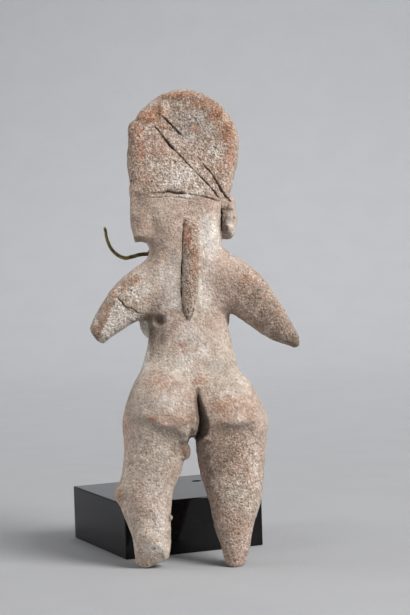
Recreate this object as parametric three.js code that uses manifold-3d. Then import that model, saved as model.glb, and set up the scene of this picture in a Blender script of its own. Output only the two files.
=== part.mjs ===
// A small hand-modelled clay figurine of a standing woman, seen from behind,
// leaning back on the wire prongs of its black display block.
// Millimetres, +Z up. The back of the figurine looks toward -Y.
import * as THREE from 'three';
import { mergeVertices } from 'three/addons/utils/BufferGeometryUtils.js';
import Module from 'manifold-3d';

const wasm = await Module();
wasm.setup();

// Driving dimensions
const figureHeight = 126.75;
const figureLean = 9.0;
const figureStand = { x: 18.0, y: -13.0 };
const blockSide = 40.6;
const blockHeight = 15.0;
const blockTurn = 23.31;
const blockBevel = 0.35;
const rodRadius = 0.8;
const prongRadius = 0.57;
const fitGap = 0.3;
const rodHoleDepth = 9.0;
const spareHole = { along: 33.4, across: 28.9, radius: 1.4, depth: 7.0 };

// Smooth blending of signed distances
const clamp = (value, low, high) => Math.min(high, Math.max(low, value));

function blend(a, b, reach) {
  const h = clamp(0.5 + (0.5 * (b - a)) / reach, 0, 1);
  return b * (1 - h) + a * h - reach * h * (1 - h);
}

function carve(a, cut, reach) {
  return -blend(-a, cut, reach);
}

// Distance to an oval and to an ellipsoid, near enough for blending
const centreGuard = 1e-4;

function oval(x, y, rx, ry) {
  const k0 = Math.hypot(x / rx, y / ry);
  const k1 = Math.hypot(x / (rx * rx), y / (ry * ry));
  return ((k0 - 1) * (k0 + centreGuard)) / (k1 + centreGuard / Math.min(rx, ry));
}

function lump(p, centre, radii) {
  const u = [0, 1, 2].map((i) => (p[i] - centre[i]) / radii[i]);
  const k0 = Math.hypot(u[0], u[1], u[2]);
  const k1 = Math.hypot(u[0] / radii[0], u[1] / radii[1], u[2] / radii[2]);
  return ((k0 - 1) * (k0 + centreGuard)) / (k1 + centreGuard / Math.min(...radii));
}

// Values that run smoothly through stations, each one a height followed by its sizes
function makeProfile(stations) {
  const rows = [...stations].sort((a, b) => a[0] - b[0]);
  const last = rows.length - 1;
  const slopes = rows.map((row, i) => row.map((value, k) => {
    if (i === 0) return (rows[1][k] - value) / (rows[1][0] - row[0]);
    if (i === last) return (value - rows[last - 1][k]) / (row[0] - rows[last - 1][0]);
    const below = row[0] - rows[i - 1][0];
    const above = rows[i + 1][0] - row[0];
    const rise = above * above - below * below;
    const weighed = below * below * rows[i + 1][k] + rise * value - above * above * rows[i - 1][k];
    return weighed / (below * above * (below + above));
  }));
  const at = (height) => {
    const z = clamp(height, rows[0][0], rows[last][0]);
    let i = 0;
    while (i < last - 1 && z >= rows[i + 1][0]) i += 1;
    const span = rows[i + 1][0] - rows[i][0];
    const t = (z - rows[i][0]) / span;
    return rows[i].slice(1).map((start, k) => {
      const end = rows[i + 1][k + 1];
      const leave = slopes[i][k + 1];
      const arrive = slopes[i + 1][k + 1];
      const ease = start * (1 + 2 * t) * (1 - t) ** 2 + end * t * t * (3 - 2 * t);
      return ease + span * (leave * t * (1 - t) ** 2 - arrive * t * t * (1 - t));
    });
  };
  return { at, low: rows[0][0], high: rows[last][0] };
}

// Straight runs between [height, value] pairs
function ramp(pairs, height) {
  const z = clamp(height, pairs[0][0], pairs[pairs.length - 1][0]);
  let i = 0;
  while (i < pairs.length - 2 && z > pairs[i + 1][0]) i += 1;
  const t = (z - pairs[i][0]) / (pairs[i + 1][0] - pairs[i][0]);
  return pairs[i][1] + t * (pairs[i + 1][1] - pairs[i][1]);
}

// A limb of oval sections: middle across, half width, middle depth, half depth
function limb(x, y, z, profile, lowCap, highCap) {
  const [midX, halfX, midY, halfY] = profile.at(z);
  let shrink = 1;
  if (lowCap > 0) {
    const u = clamp((profile.low + lowCap - z) / lowCap, 0, 1);
    shrink *= Math.sqrt(Math.max(1 - u * u, centreGuard));
  }
  if (highCap > 0) {
    const u = clamp((z - profile.high + highCap) / highCap, 0, 1);
    shrink *= Math.sqrt(Math.max(1 - u * u, centreGuard));
  }
  const side = oval(x - midX, y - midY, halfX * shrink, halfY * shrink);
  return Math.max(side, profile.low - z, z - profile.high);
}

// A flat shape of given thickness with rounded edges
function slab(outline, y, half, round) {
  const a = outline + round;
  const b = Math.abs(y) - half + round;
  return Math.min(Math.max(a, b), 0) + Math.hypot(Math.max(a, 0), Math.max(b, 0)) - round;
}

// Trunk, from the hips to inside the neck
const trunk = makeProfile([
  [85.0, 0.9, 7.6, 0.3, 3.8],
  [78.0, 1.2, 10.4, 0.3, 5.0],
  [71.0, 1.4, 10.6, 0.4, 5.5],
  [65.0, 0.9, 10.1, 0.4, 5.4],
  [59.0, 0.9, 11.1, 0.0, 5.3],
  [53.0, 0.75, 12.6, -0.2, 5.8],
  [47.0, 0.85, 14.4, -0.4, 6.8],
  [42.0, 1.8, 17.5, -0.3, 7.4],
  [37.0, 1.7, 18.8, 0.2, 7.2],
  [33.0, 1.5, 17.6, 0.5, 6.6],
]);

// Legs, the left one bent at the knee and ending in a worn foot
const leftLeg = makeProfile([
  [52.0, -6.0, 5.5, 0.4, 4.0],
  [44.0, -7.2, 8.6, 0.3, 6.6],
  [38.0, -7.9, 9.4, 0.4, 7.8],
  [31.0, -8.8, 8.5, 0.5, 7.6],
  [25.0, -10.2, 7.9, 0.5, 6.9],
  [20.0, -12.0, 7.4, 0.6, 6.2],
  [14.5, -11.7, 6.3, 0.5, 5.3],
  [9.0, -10.85, 5.2, 0.3, 4.6],
  [3.6, -10.6, 4.5, 0.1, 4.4],
  [1.0, -10.8, 4.0, 0.0, 4.0],
  [-1.6, -11.6, 2.8, -0.2, 3.3],
]);
const rightLeg = makeProfile([
  [52.0, 7.6, 4.0, 0.4, 4.0],
  [44.0, 9.6, 7.6, 0.3, 6.6],
  [38.0, 11.5, 9.1, 0.4, 7.8],
  [31.0, 10.9, 9.2, 0.5, 7.6],
  [24.0, 11.1, 8.3, 0.5, 6.8],
  [17.0, 11.5, 6.8, 0.5, 5.7],
  [10.0, 11.1, 5.1, 0.3, 4.7],
  [4.0, 11.3, 3.55, 0.2, 3.9],
  [1.6, 11.2, 2.9, 0.2, 3.5],
  [-1.2, 11.1, 2.1, 0.2, 2.9],
]);

// Arms run from root to tip; their stations are shares of that length
function makeArm(root, tip, shares, rootCap, tipCap) {
  const length = Math.hypot(tip[0] - root[0], tip[1] - root[1]);
  const along = [(tip[0] - root[0]) / length, (tip[1] - root[1]) / length];
  const profile = makeProfile(shares.map(([share, ...sizes]) => [share * length, ...sizes]));
  return (x, y, z) => {
    const a = (x - root[0]) * along[0] + (z - root[1]) * along[1];
    const b = (z - root[1]) * along[0] - (x - root[0]) * along[1];
    return limb(b, y, a, profile, rootCap, tipCap);
  };
}

const leftArm = makeArm([-6.5, 75.2], [-24.5, 60.9], [
  [-0.34, -0.2, 5.2, 0.3, 4.2],
  [0.12, -1.2, 6.2, 0.3, 4.7],
  [0.45, -1.45, 5.6, 0.2, 4.4],
  [0.72, -0.9, 4.5, 0.1, 4.0],
  [0.9, -0.2, 3.5, 0.1, 3.5],
  [1.0, 0.2, 3.1, 0.1, 3.1],
], 4.5, 1.3);
const rightArm = makeArm([9.5, 75.6], [29.8, 58.3], [
  [-0.3, 0.2, 5.2, 0.3, 4.0],
  [0.08, 0.9, 6.9, 0.3, 4.8],
  [0.35, 1.0, 6.4, 0.2, 4.8],
  [0.62, -0.1, 5.2, 0.1, 4.4],
  [0.85, -0.85, 3.5, 0.1, 3.6],
  [0.96, -0.9, 2.2, 0.1, 2.9],
  [1.035, -1.0, 1.5, 0.1, 2.2],
], 4.5, 1.2);

// Head: a flat tall slab with a round top that runs down into the neck
const crown = { x: 0.9, z: 112.65, halfWidth: 14.85, rise: 14.6, power: 1.78 };
const headWidth = makeProfile([
  [crown.z, crown.x, crown.halfWidth],
  [107.0, 0.35, 14.75],
  [103.0, 0.05, 13.9],
  [99.5, -0.1, 13.3],
  [96.0, 0.3, 11.2],
  [91.0, 0.6, 9.8],
  [85.0, 0.55, 9.75],
  [80.0, 0.9, 9.3],
  [75.0, 1.0, 6.5],
]);
const headDepth = makeProfile([
  [figureHeight, 0.7, 3.2],
  [120.0, 0.6, 3.9],
  [112.0, 0.5, 4.4],
  [100.0, 0.3, 4.6],
  [90.0, 0.2, 4.9],
  [82.0, 0.3, 4.9],
  [75.0, 0.4, 3.2],
]);
const headRounding = [[75, 3.0], [80, 4.4], [92, 4.2], [100, 3.2], [112, 3.0], [127, 2.6]];
const dish = { centre: [4.3, -7.2, 114.0], radii: [11.6, 4.15, 12.6] };

function head(p) {
  const [x, y, z] = p;
  const [midX, halfX] = headWidth.at(z);
  const [midY, halfY] = headDepth.at(z);
  const round = ramp(headRounding, z);
  const rise = Math.max(z - crown.z, 0);
  const across = Math.abs(x - crown.x) / crown.halfWidth;
  const reach = (across ** crown.power + (rise / crown.rise) ** crown.power) ** (1 / crown.power);
  const dome = (reach - 1) * crown.rise;
  const sides = Math.abs(x - midX) - halfX;
  const outline = Math.max(z > crown.z ? dome : sides, headWidth.low - z);
  return carve(slab(outline, y - midY, halfY, round), lump(p, dish.centre, dish.radii), 0.9);
}

// Hair tresses hanging beside the neck
function tress(x, y, z, { low, high, bend, bendAt, mid, half, round, corner }) {
  const shifted = x - bend * (z - bendAt) ** 2;
  const a = Math.abs(shifted - (low[0] + high[0]) / 2) - (high[0] - low[0]) / 2 + corner;
  const b = Math.abs(z - (low[1] + high[1]) / 2) - (high[1] - low[1]) / 2 + corner;
  const outline = Math.min(Math.max(a, b), 0) + Math.hypot(Math.max(a, 0), Math.max(b, 0)) - corner;
  return slab(outline, y - mid, half, round);
}

const leftTress = {
  low: [-13.8, 86.5], high: [-8.7, 100.0], bend: 0.012, bendAt: 95.0, mid: -0.5, half: 3.8, round: 1.1, corner: 0,
};
const rightTress = {
  low: [10.3, 86.5], high: [13.9, 98.5], bend: -0.008, bendAt: 92.5, mid: 0.5, half: 2.9, round: 1.7, corner: 1.6,
};

// The plait that runs down the nape: height, middle, half width
const plait = makeProfile([
  [92.0, 1.75, 1.1],
  [90.0, 2.1, 1.75],
  [86.0, 2.1, 2.0],
  [80.0, 1.85, 2.15],
  [76.0, 1.6, 2.15],
  [72.4, 1.4, 2.05],
  [69.7, 1.15, 1.8],
  [66.5, 0.9, 1.1],
  [64.3, 0.9, 0.5],
]);
const plaitRaised = 1.35;
const spine = [[60, -5.0], [65, -5.0], [72, -5.05], [80, -4.75], [86, -4.6], [93, -4.5]];

function plaitRidge(x, y, z) {
  const [midX, halfX] = plait.at(z);
  const fromTop = clamp((plait.high - z) / 6.0, 0.02, 1);
  const fromTip = clamp((z - plait.low) / 5.0, 0.02, 1);
  const raised = plaitRaised * Math.sqrt(fromTop * fromTip);
  const ridge = oval(x - midX, y - ramp(spine, z) - 0.2, halfX, raised + 0.2);
  return Math.max(ridge, plait.low - z, z - plait.high);
}

// Buttocks with flattened undersides
function buttock(p, centre, radii, fold, tilt) {
  const underside = fold + tilt * p[0] - 0.25 * (p[1] + 8) - p[2];
  return -blend(-lump(p, centre, radii), -underside, 1.6);
}

// The gap between the thighs
const gapTop = 34.3;
const gapBottom = 22.0;

function thighGap(x, z) {
  const below = 33.6 - z;
  const sides = Math.abs(x - (0.75 - 0.1 * below)) - (0.95 + 0.14 * below);
  return Math.max(-blend(-sides, gapTop - z, 1.2), gapBottom - z);
}

// Face on the far side: brow band, nose, slit eyes and mouth
const face = { x: 0.7, eyeReach: 3.5, eyeHeight: 98.8, mouthHeight: 92.4, bandHeight: 105.4 };

function withFace(solid, p) {
  const [x, y, z] = p;
  let d = blend(solid, lump(p, [face.x, 2.6, 96.2], [8.2, 5.0, 8.6]), 1.6);
  const sag = 0.012 * (x - face.x) ** 2;
  d = blend(d, lump([x, y, z + sag], [face.x, 3.6, face.bandHeight], [13.6, 3.2, 2.1]), 1.0);
  d = blend(d, lump(p, [face.x, 7.2, 97.2], [1.15, 2.2, 2.7]), 0.7);
  d = blend(d, lump(p, [face.x, 6.9, face.mouthHeight], [2.2, 1.2, 1.0]), 0.5);
  for (const side of [-1, 1]) {
    d = blend(d, lump(p, [face.x + side * face.eyeReach, 6.3, face.eyeHeight], [2.0, 1.1, 1.15]), 0.5);
  }
  return d;
}

// Worn end of the left foot: one flat facet that looks down and back
const facet = { at: [-9.2, -3.7, 5.6], normal: [-0.15, -0.88, -0.45], ceiling: 12.0 };

function footFacet(p) {
  if (p[2] > facet.ceiling) return -5;
  return facet.normal.reduce((sum, n, i) => sum + n * (p[i] - facet.at[i]), 0);
}

// The left sole is worn away toward the inner side
const wornSole = { at: [-8.5, 1.55], rise: THREE.MathUtils.degToRad(25.0), ceiling: 8.0 };

function soleWear(x, z) {
  if (x > 0 || z > wornSole.ceiling) return -5;
  return (x - wornSole.at[0]) * Math.sin(wornSole.rise) - (z - wornSole.at[1]) * Math.cos(wornSole.rise);
}

// Worn flat soles, cut level with the floor under the leaning body
const lean = THREE.MathUtils.degToRad(figureLean);

function soles(y, z) {
  return z * Math.cos(lean) - y * Math.sin(lean);
}

// The whole figurine as one signed distance, in its own upright frame
function figurine(p) {
  const [x, y, z] = p;
  let d = limb(x, y, z, trunk, 0, 1.5);
  d = blend(d, buttock(p, [-6.6, -2.2, 40.3], [9.1, 7.2, 12.6], 34.8, -0.32), 3.0);
  d = blend(d, buttock(p, [10.6, -2.2, 39.6], [8.3, 7.0, 11.2], 37.3, -0.1), 3.0);
  d = blend(d, head(p), 3.0);
  d = blend(d, leftArm(x, y, z), 2.2);
  d = blend(d, rightArm(x, y, z), 2.2);
  d = blend(d, lump(p, [-7.7, 3.9, 65.2], [4.7, 3.9, 5.0]), 1.8);
  d = blend(d, lump(p, [8.0, 4.0, 65.8], [3.7, 3.8, 4.7]), 1.8);
  d = blend(d, lump(p, [1.3, 1.5, 49.0], [9.0, 5.4, 9.0]), 3.0);
  d = blend(d, limb(x, y, z, leftLeg, 1.2, 3.0), 1.4);
  d = blend(d, limb(x, y, z, rightLeg, 2.0, 3.0), 1.4);
  d = carve(d, thighGap(x, z), 0.4);
  d = blend(d, tress(x, y, z, leftTress), 2.2);
  d = blend(d, tress(x, y, z, rightTress), 0.9);
  d = blend(d, lump(p, [12.7, -0.4, 91.8], [1.9, 2.9, 2.6]), 1.0);
  d = blend(d, plaitRidge(x, y, z), 0.5);
  d = withFace(d, p);
  d = blend(d, lump(p, [-18.1, 0.0, 19.6], [1.6, 2.6, 2.4]), 1.2);
  d = blend(d, lump(p, [-1.3, 1.0, 31.3], [1.4, 1.8, 1.9]), 0.8);
  d = carve(d, -footFacet(p), 0.3);
  d = carve(d, -soleWear(x, z), 0.5);
  return z < 4 ? carve(d, soles(y, z), 1.1) : d;
}

// Grid lines with a spacing for each band, finer at the head, plait and cleft
function gridLines(start, bands) {
  const lines = [start];
  for (const [end, spacing] of bands) {
    const from = lines[lines.length - 1];
    const count = Math.max(1, Math.round((end - from) / spacing));
    for (let i = 1; i <= count; i += 1) lines.push(from + ((end - from) * i) / count);
  }
  return lines;
}

const grid = {
  x: gridLines(-30.0, [[-15.0, 2.5], [-6.0, 2.0], [7.5, 1.45], [16.0, 1.9], [36.0, 2.5]]),
  y: gridLines(-13.4, [[-7.0, 1.8], [-3.0, 1.4], [4.0, 2.3], [13.0, 1.5]]),
  z: gridLines(-4.5, [
    [30.0, 2.8], [46.0, 2.0], [64.0, 2.7], [86.0, 2.3], [90.5, 1.8], [107.5, 1.4], [131.2, 2.3],
  ]),
};

// Closed surface of a field on the grid: one vertex in each cell that it crosses
function surfaceOf(field) {
  const { x: gx, y: gy, z: gz } = grid;
  const [nx, ny, nz] = [gx.length, gy.length, gz.length];
  const at = (i, j, k) => i + nx * (j + ny * k);
  const values = new Float64Array(nx * ny * nz);
  for (let k = 0; k < nz; k += 1) {
    for (let j = 0; j < ny; j += 1) {
      for (let i = 0; i < nx; i += 1) values[at(i, j, k)] = field([gx[i], gy[j], gz[k]]);
    }
  }
  clearDiagonals(values, nx, ny, nz, at);
  const vertexOf = new Map();
  const points = [];
  const corners = [0, 1, 2, 3, 4, 5, 6, 7].map((c) => [c & 1, (c >> 1) & 1, (c >> 2) & 1]);
  for (let k = 0; k < nz - 1; k += 1) {
    for (let j = 0; j < ny - 1; j += 1) {
      for (let i = 0; i < nx - 1; i += 1) {
        const crossings = [];
        corners.forEach(([a, b, c], n) => {
          [1, 2, 4].forEach((bit) => {
            if (n & bit) return;
            const [d, e, f] = corners[n | bit];
            const v0 = values[at(i + a, j + b, k + c)];
            const v1 = values[at(i + d, j + e, k + f)];
            if ((v0 < 0) === (v1 < 0)) return;
            const t = v0 / (v0 - v1);
            crossings.push([
              gx[i + a] + t * (gx[i + d] - gx[i + a]),
              gy[j + b] + t * (gy[j + e] - gy[j + b]),
              gz[k + c] + t * (gz[k + f] - gz[k + c]),
            ]);
          });
        });
        if (crossings.length === 0) continue;
        const mean = [0, 1, 2].map((m) => crossings.reduce((s, q) => s + q[m], 0) / crossings.length);
        const low = [gx[i], gy[j], gz[k]];
        const high = [gx[i + 1], gy[j + 1], gz[k + 1]];
        vertexOf.set(at(i, j, k), points.length);
        points.push(settle(field, mean, low, high));
      }
    }
  }
  const quads = [];
  const addQuad = (cells, flip) => {
    const q = cells.map((cell) => vertexOf.get(cell));
    quads.push(flip ? q.reverse() : q);
  };
  for (let k = 1; k < nz - 1; k += 1) {
    for (let j = 1; j < ny - 1; j += 1) {
      for (let i = 1; i < nx - 1; i += 1) {
        const inside = values[at(i, j, k)] < 0;
        if (inside !== values[at(i + 1, j, k)] < 0) {
          addQuad([at(i, j - 1, k - 1), at(i, j, k - 1), at(i, j, k), at(i, j - 1, k)], !inside);
        }
        if (inside !== values[at(i, j + 1, k)] < 0) {
          addQuad([at(i - 1, j, k - 1), at(i - 1, j, k), at(i, j, k), at(i, j, k - 1)], !inside);
        }
        if (inside !== values[at(i, j, k + 1)] < 0) {
          addQuad([at(i - 1, j - 1, k), at(i, j - 1, k), at(i, j, k), at(i - 1, j, k)], !inside);
        }
      }
    }
  }
  return { points, quads };
}

// Fills the grid corners that would make the surface touch itself along a line
function clearDiagonals(values, nx, ny, nz, at) {
  const filled = -0.05;
  let changed = true;
  while (changed) {
    changed = false;
    for (let k = 0; k < nz - 1; k += 1) {
      for (let j = 0; j < ny - 1; j += 1) {
        for (let i = 0; i < nx - 1; i += 1) {
          const faces = [
            [at(i, j, k), at(i + 1, j, k), at(i + 1, j + 1, k), at(i, j + 1, k)],
            [at(i, j, k), at(i + 1, j, k), at(i + 1, j, k + 1), at(i, j, k + 1)],
            [at(i, j, k), at(i, j + 1, k), at(i, j + 1, k + 1), at(i, j, k + 1)],
          ];
          for (const face of faces) {
            const within = face.map((corner) => values[corner] < 0);
            if (within[0] === within[2] && within[1] === within[3] && within[0] !== within[1]) {
              const outer = face.filter((corner) => values[corner] >= 0);
              const pick = values[outer[0]] < values[outer[1]] ? outer[0] : outer[1];
              values[pick] = filled;
              changed = true;
            }
          }
        }
      }
    }
  }
}

// Moves a point onto the surface along the slope of the field, kept inside its cell
function settle(field, start, low, high) {
  const probe = 0.05;
  const margin = 0.12;
  let p = start;
  for (let round = 0; round < 3; round += 1) {
    const value = field(p);
    const slope = [0, 1, 2].map((m) => {
      const ahead = [...p];
      const behind = [...p];
      ahead[m] += probe;
      behind[m] -= probe;
      return (field(ahead) - field(behind)) / (2 * probe);
    });
    const steep = slope.reduce((s, g) => s + g * g, 1e-6);
    p = p.map((value0, m) => {
      const reach = (high[m] - low[m]) * margin;
      return clamp(value0 - (value * slope[m]) / steep, low[m] + reach, high[m] - reach);
    });
  }
  return p;
}

// Splits each quad along its shorter diagonal
function meshArrays({ points, quads }) {
  const gap = (a, b) => Math.hypot(...[0, 1, 2].map((m) => points[a][m] - points[b][m]));
  const triangles = [];
  for (const [a, b, c, d] of quads) {
    if (gap(a, c) < gap(b, d)) triangles.push(a, b, c, a, c, d);
    else triangles.push(a, b, d, b, c, d);
  }
  return { positions: points.flat(), triangles };
}

// Conversions between closed meshes and solids that can be joined and cut
function solidFromArrays({ positions, triangles }) {
  return new wasm.Manifold(new wasm.Mesh({
    numProp: 3,
    vertProperties: new Float32Array(positions),
    triVerts: new Uint32Array(triangles),
  }));
}

function solidFromGeometry(geometry) {
  const plain = geometry.clone();
  plain.deleteAttribute('normal');
  plain.deleteAttribute('uv');
  const merged = mergeVertices(plain, 1e-4);
  return solidFromArrays({ positions: merged.attributes.position.array, triangles: merged.index.array });
}

function geometryFromSolid(solid) {
  const mesh = solid.getMesh();
  const geometry = new THREE.BufferGeometry();
  geometry.setAttribute('position', new THREE.BufferAttribute(mesh.vertProperties, 3));
  geometry.setIndex(new THREE.BufferAttribute(mesh.triVerts, 1));
  geometry.computeVertexNormals();
  return geometry;
}

// Cut strokes: path on the face (x, z), half width, depth, and the side they are cut from
const backSide = -1;
const frontSide = 1;
const eyeLine = (side) => [
  [face.x + side * (face.eyeReach - 1.7), face.eyeHeight],
  [face.x + side * (face.eyeReach + 1.7), face.eyeHeight],
];
const mouthLine = [[face.x - 1.9, face.mouthHeight], [face.x + 1.9, face.mouthHeight]];
const strokes = [
  {
    path: [[-9.4, 98.4], [-6.2, 98.5], [-1.2, 98.5], [3.6, 97.6], [8.0, 96.6], [10.0, 95.9]],
    half: 0.6, depth: 0.85, side: backSide,
  },
  {
    path: [[-6.8, 116.9], [-3.2, 112.0], [0.2, 108.4], [4.4, 103.4], [7.3, 100.2]],
    half: 0.6, depth: 0.85, side: backSide,
  },
  { path: [[-4.6, 119.5], [0.6, 114.0]], half: 0.55, depth: 0.8, side: backSide },
  { path: [[5.9, 106.3], [8.6, 102.5], [11.0, 98.2], [12.4, 96.4]], half: 0.55, depth: 0.8, side: backSide },
  { path: [[10.5, 94.6], [10.4, 87.2]], half: 0.65, depth: 1.4, side: backSide },
  { path: [[0.35, 90.4], [-0.2, 82.0], [-0.75, 74.0], [-0.6, 67.6]], half: 0.5, depth: 0.9, side: backSide },
  { path: eyeLine(-1), half: 0.35, depth: 0.6, side: frontSide },
  { path: eyeLine(1), half: 0.35, depth: 0.6, side: frontSide },
  { path: mouthLine, half: 0.3, depth: 0.6, side: frontSide },
];

// Depth of the figurine's surface at (x, z), met from one side
function surfaceAt(x, z, side) {
  let outside = side * 14.0;
  let step = -side * 0.25;
  while (figurine([x, outside, z]) > 0 && Math.abs(outside) < 15) outside += step;
  outside -= step;
  for (let i = 0; i < 12; i += 1) {
    step /= 2;
    if (figurine([x, outside + step, z]) > 0) outside += step;
  }
  return outside;
}

// A closed body through triangular sections, between a start and an end point
function wedge(start, sections, end) {
  const positions = [...start, ...sections.flat(2), ...end];
  const triangles = [];
  const last = positions.length / 3 - 1;
  const corner = (ring, n) => 1 + ring * 3 + (n % 3);
  for (let n = 0; n < 3; n += 1) {
    triangles.push(0, corner(0, n + 1), corner(0, n));
    triangles.push(last, corner(sections.length - 1, n), corner(sections.length - 1, n + 1));
    for (let ring = 0; ring < sections.length - 1; ring += 1) {
      triangles.push(corner(ring, n), corner(ring, n + 1), corner(ring + 1, n));
      triangles.push(corner(ring, n + 1), corner(ring + 1, n + 1), corner(ring + 1, n));
    }
  }
  const solid = solidFromArrays({ positions, triangles });
  return solid.volume() > 0 ? solid : solidFromArrays({ positions, triangles: triangles.reverse() });
}

// A boat-shaped cutter that follows the surface under its path
function strokeCutter({ path, half, depth, side }) {
  const curve = new THREE.CatmullRomCurve3(path.map(([x, z]) => new THREE.Vector3(x, 0, z)));
  const rings = Math.max(4, Math.round(curve.getLength() / 2.2));
  const lid = 0.5;
  const points = curve.getSpacedPoints(rings);
  const onSurface = (x, z, down) => [x, surfaceAt(x, z, side) - side * down, z];
  const sections = [];
  for (let i = 1; i < rings; i += 1) {
    const swell = Math.sqrt(1 - (2 * (i / rings) - 1) ** 2);
    const along = points[i + 1].clone().sub(points[i - 1]).normalize();
    const reach = half * swell * 1.3;
    const { x, z } = points[i];
    sections.push([
      onSurface(x + along.z * reach, z - along.x * reach, -lid * swell),
      onSurface(x, z, depth * swell),
      onSurface(x - along.z * reach, z + along.x * reach, -lid * swell),
    ]);
  }
  const ends = [points[0], points[rings]].map(({ x, z }) => onSurface(x, z, 0.02));
  return wedge(ends[0], sections, ends[1]);
}

// The cleft between the buttocks: height, left lip, right lip, and the bottom's place and depth
const cleft = [
  [43.9, 2.4, 3.25, 2.9, -6.2],
  [41.3, 2.5, 4.15, 3.4, -4.8],
  [38.2, 2.9, 5.05, 4.1, -3.4],
  [35.8, 2.4, 5.5, 3.9, -2.4],
  [34.2, 1.7, 5.45, 3.4, -1.8],
];
const cleftLid = -12.0;

function cleftCutter() {
  const sections = cleft.map(([z, left, right, bottomX, bottomY]) => [
    [left - 0.4, cleftLid, z],
    [bottomX, bottomY, z],
    [right + 0.4, cleftLid, z],
  ]);
  return wedge([2.8, -7.6, 45.3], sections, [2.4, -5.0, 31.0]);
}

function buildFigurine() {
  let solid = solidFromArrays(meshArrays(surfaceOf(figurine)));
  solid = solid.subtract(cleftCutter());
  for (const stroke of strokes) solid = solid.subtract(strokeCutter(stroke));
  return geometryFromSolid(solid);
}

// A tube of round section along a curve, with a rounded end where asked
function wire(points, radius, sides, steps, roundEnds) {
  const curve = new THREE.CatmullRomCurve3(points.map((p) => new THREE.Vector3(...p)));
  const section = new THREE.Shape();
  section.absarc(0, 0, radius, 0, Math.PI * 2);
  const tube = new THREE.ExtrudeGeometry(section, {
    steps,
    curveSegments: sides / 2,
    bevelEnabled: false,
    extrudePath: curve,
  });
  let solid = solidFromGeometry(tube);
  for (const p of roundEnds) {
    const ball = new THREE.SphereGeometry(radius, sides, sides / 2).translate(...p);
    solid = solid.add(solidFromGeometry(ball));
  }
  return solid;
}

// Brass cradle: a rod out of the block, bent toward the throat, and two prongs
const rodFoot = [6.4, 14.0, blockHeight - rodHoleDepth + fitGap];
const rodTop = [9.6, 7.1, 81.8];
const leftTip = [-3.05, 6.2, 89.4];
const rightTip = [22.3, 8.2, 88.6];

const rodPath = [
  rodFoot,
  [6.4, 14.0, 24.0],
  [8.2, 13.4, 56.0],
  [9.0, 12.2, 70.0],
  [9.5, 9.4, 78.6],
  rodTop,
];
const leftProngPath = [
  rodTop,
  [6.2, 6.5, 81.65],
  [4.0, 6.4, 81.15],
  [2.2, 6.3, 80.9],
  [0.2, 6.3, 81.75],
  [-1.4, 6.3, 83.4],
  [-2.4, 6.2, 85.7],
  leftTip,
];
const rightProngPath = [
  rodTop,
  [13.0, 6.5, 81.6],
  [15.2, 6.6, 81.1],
  [17.0, 6.8, 80.9],
  [19.0, 7.1, 81.7],
  [20.6, 7.4, 83.2],
  [21.7, 7.8, 85.4],
  rightTip,
];

function buildCradle() {
  const rod = wire(rodPath, rodRadius, 10, 14, [rodTop]);
  const left = wire(leftProngPath, prongRadius, 8, 15, [leftTip]);
  const right = wire(rightProngPath, prongRadius, 8, 15, [rightTip]);
  return geometryFromSolid(rod.add(left).add(right));
}

// Black block with softened edges, the rod's hole and a spare hole
function buildBlock() {
  const outline = new THREE.Shape();
  const low = blockBevel;
  const high = blockSide - blockBevel;
  outline.moveTo(low, low);
  outline.lineTo(high, low);
  outline.lineTo(high, high);
  outline.lineTo(low, high);
  outline.closePath();
  const body = new THREE.ExtrudeGeometry(outline, {
    depth: blockHeight - 2 * blockBevel,
    bevelEnabled: true,
    bevelThickness: blockBevel,
    bevelSize: blockBevel,
    bevelSegments: 2,
  });
  body.translate(0, 0, blockBevel);
  const turn = THREE.MathUtils.degToRad(blockTurn);
  const rodAlong = rodFoot[0] * Math.cos(turn) + rodFoot[1] * Math.sin(turn);
  const rodAcross = rodFoot[1] * Math.cos(turn) - rodFoot[0] * Math.sin(turn);
  const drill = (along, across, radius, depth) => {
    const bit = new THREE.CylinderGeometry(radius, radius, depth + 1, 24);
    bit.rotateX(Math.PI / 2);
    bit.translate(along, across, blockHeight + 0.5 - depth / 2);
    return solidFromGeometry(bit);
  };
  const block = solidFromGeometry(body)
    .subtract(drill(rodAlong, rodAcross, rodRadius + fitGap, rodHoleDepth))
    .subtract(drill(spareHole.along, spareHole.across, spareHole.radius, spareHole.depth));
  return geometryFromSolid(block);
}

// The scene graph
function finish(name, geometry, colour, roughness, metalness) {
  const material = new THREE.MeshStandardMaterial({ color: colour, roughness, metalness });
  const mesh = new THREE.Mesh(geometry, material);
  mesh.name = name;
  return mesh;
}

const figurineMesh = finish('figurine', buildFigurine(), 0xbcaa9a, 0.92, 0.0);
figurineMesh.rotation.x = -THREE.MathUtils.degToRad(figureLean);
figurineMesh.position.set(figureStand.x, figureStand.y, 0);
figurineMesh.updateMatrixWorld(true);
figurineMesh.position.z = -new THREE.Box3().setFromObject(figurineMesh, true).min.z;

const blockMesh = finish('display_block', buildBlock(), 0x101012, 0.12, 0.0);
blockMesh.rotation.z = THREE.MathUtils.degToRad(blockTurn);

const cradleMesh = finish('cradle_rod', buildCradle(), 0x6f6238, 0.38, 1.0);

const stage = new THREE.Group();
stage.add(figurineMesh, blockMesh, cradleMesh);
stage.updateMatrixWorld(true);
const bounds = new THREE.Box3().setFromObject(stage, true);
stage.position.set(-(bounds.min.x + bounds.max.x) / 2, -(bounds.min.y + bounds.max.y) / 2, 0);

const group = new THREE.Group();
group.add(stage);
group.updateMatrixWorld(true);

export default group;
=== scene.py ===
import math
import bmesh
import bpy
import numpy as np
from mathutils import Matrix, Vector


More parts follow.
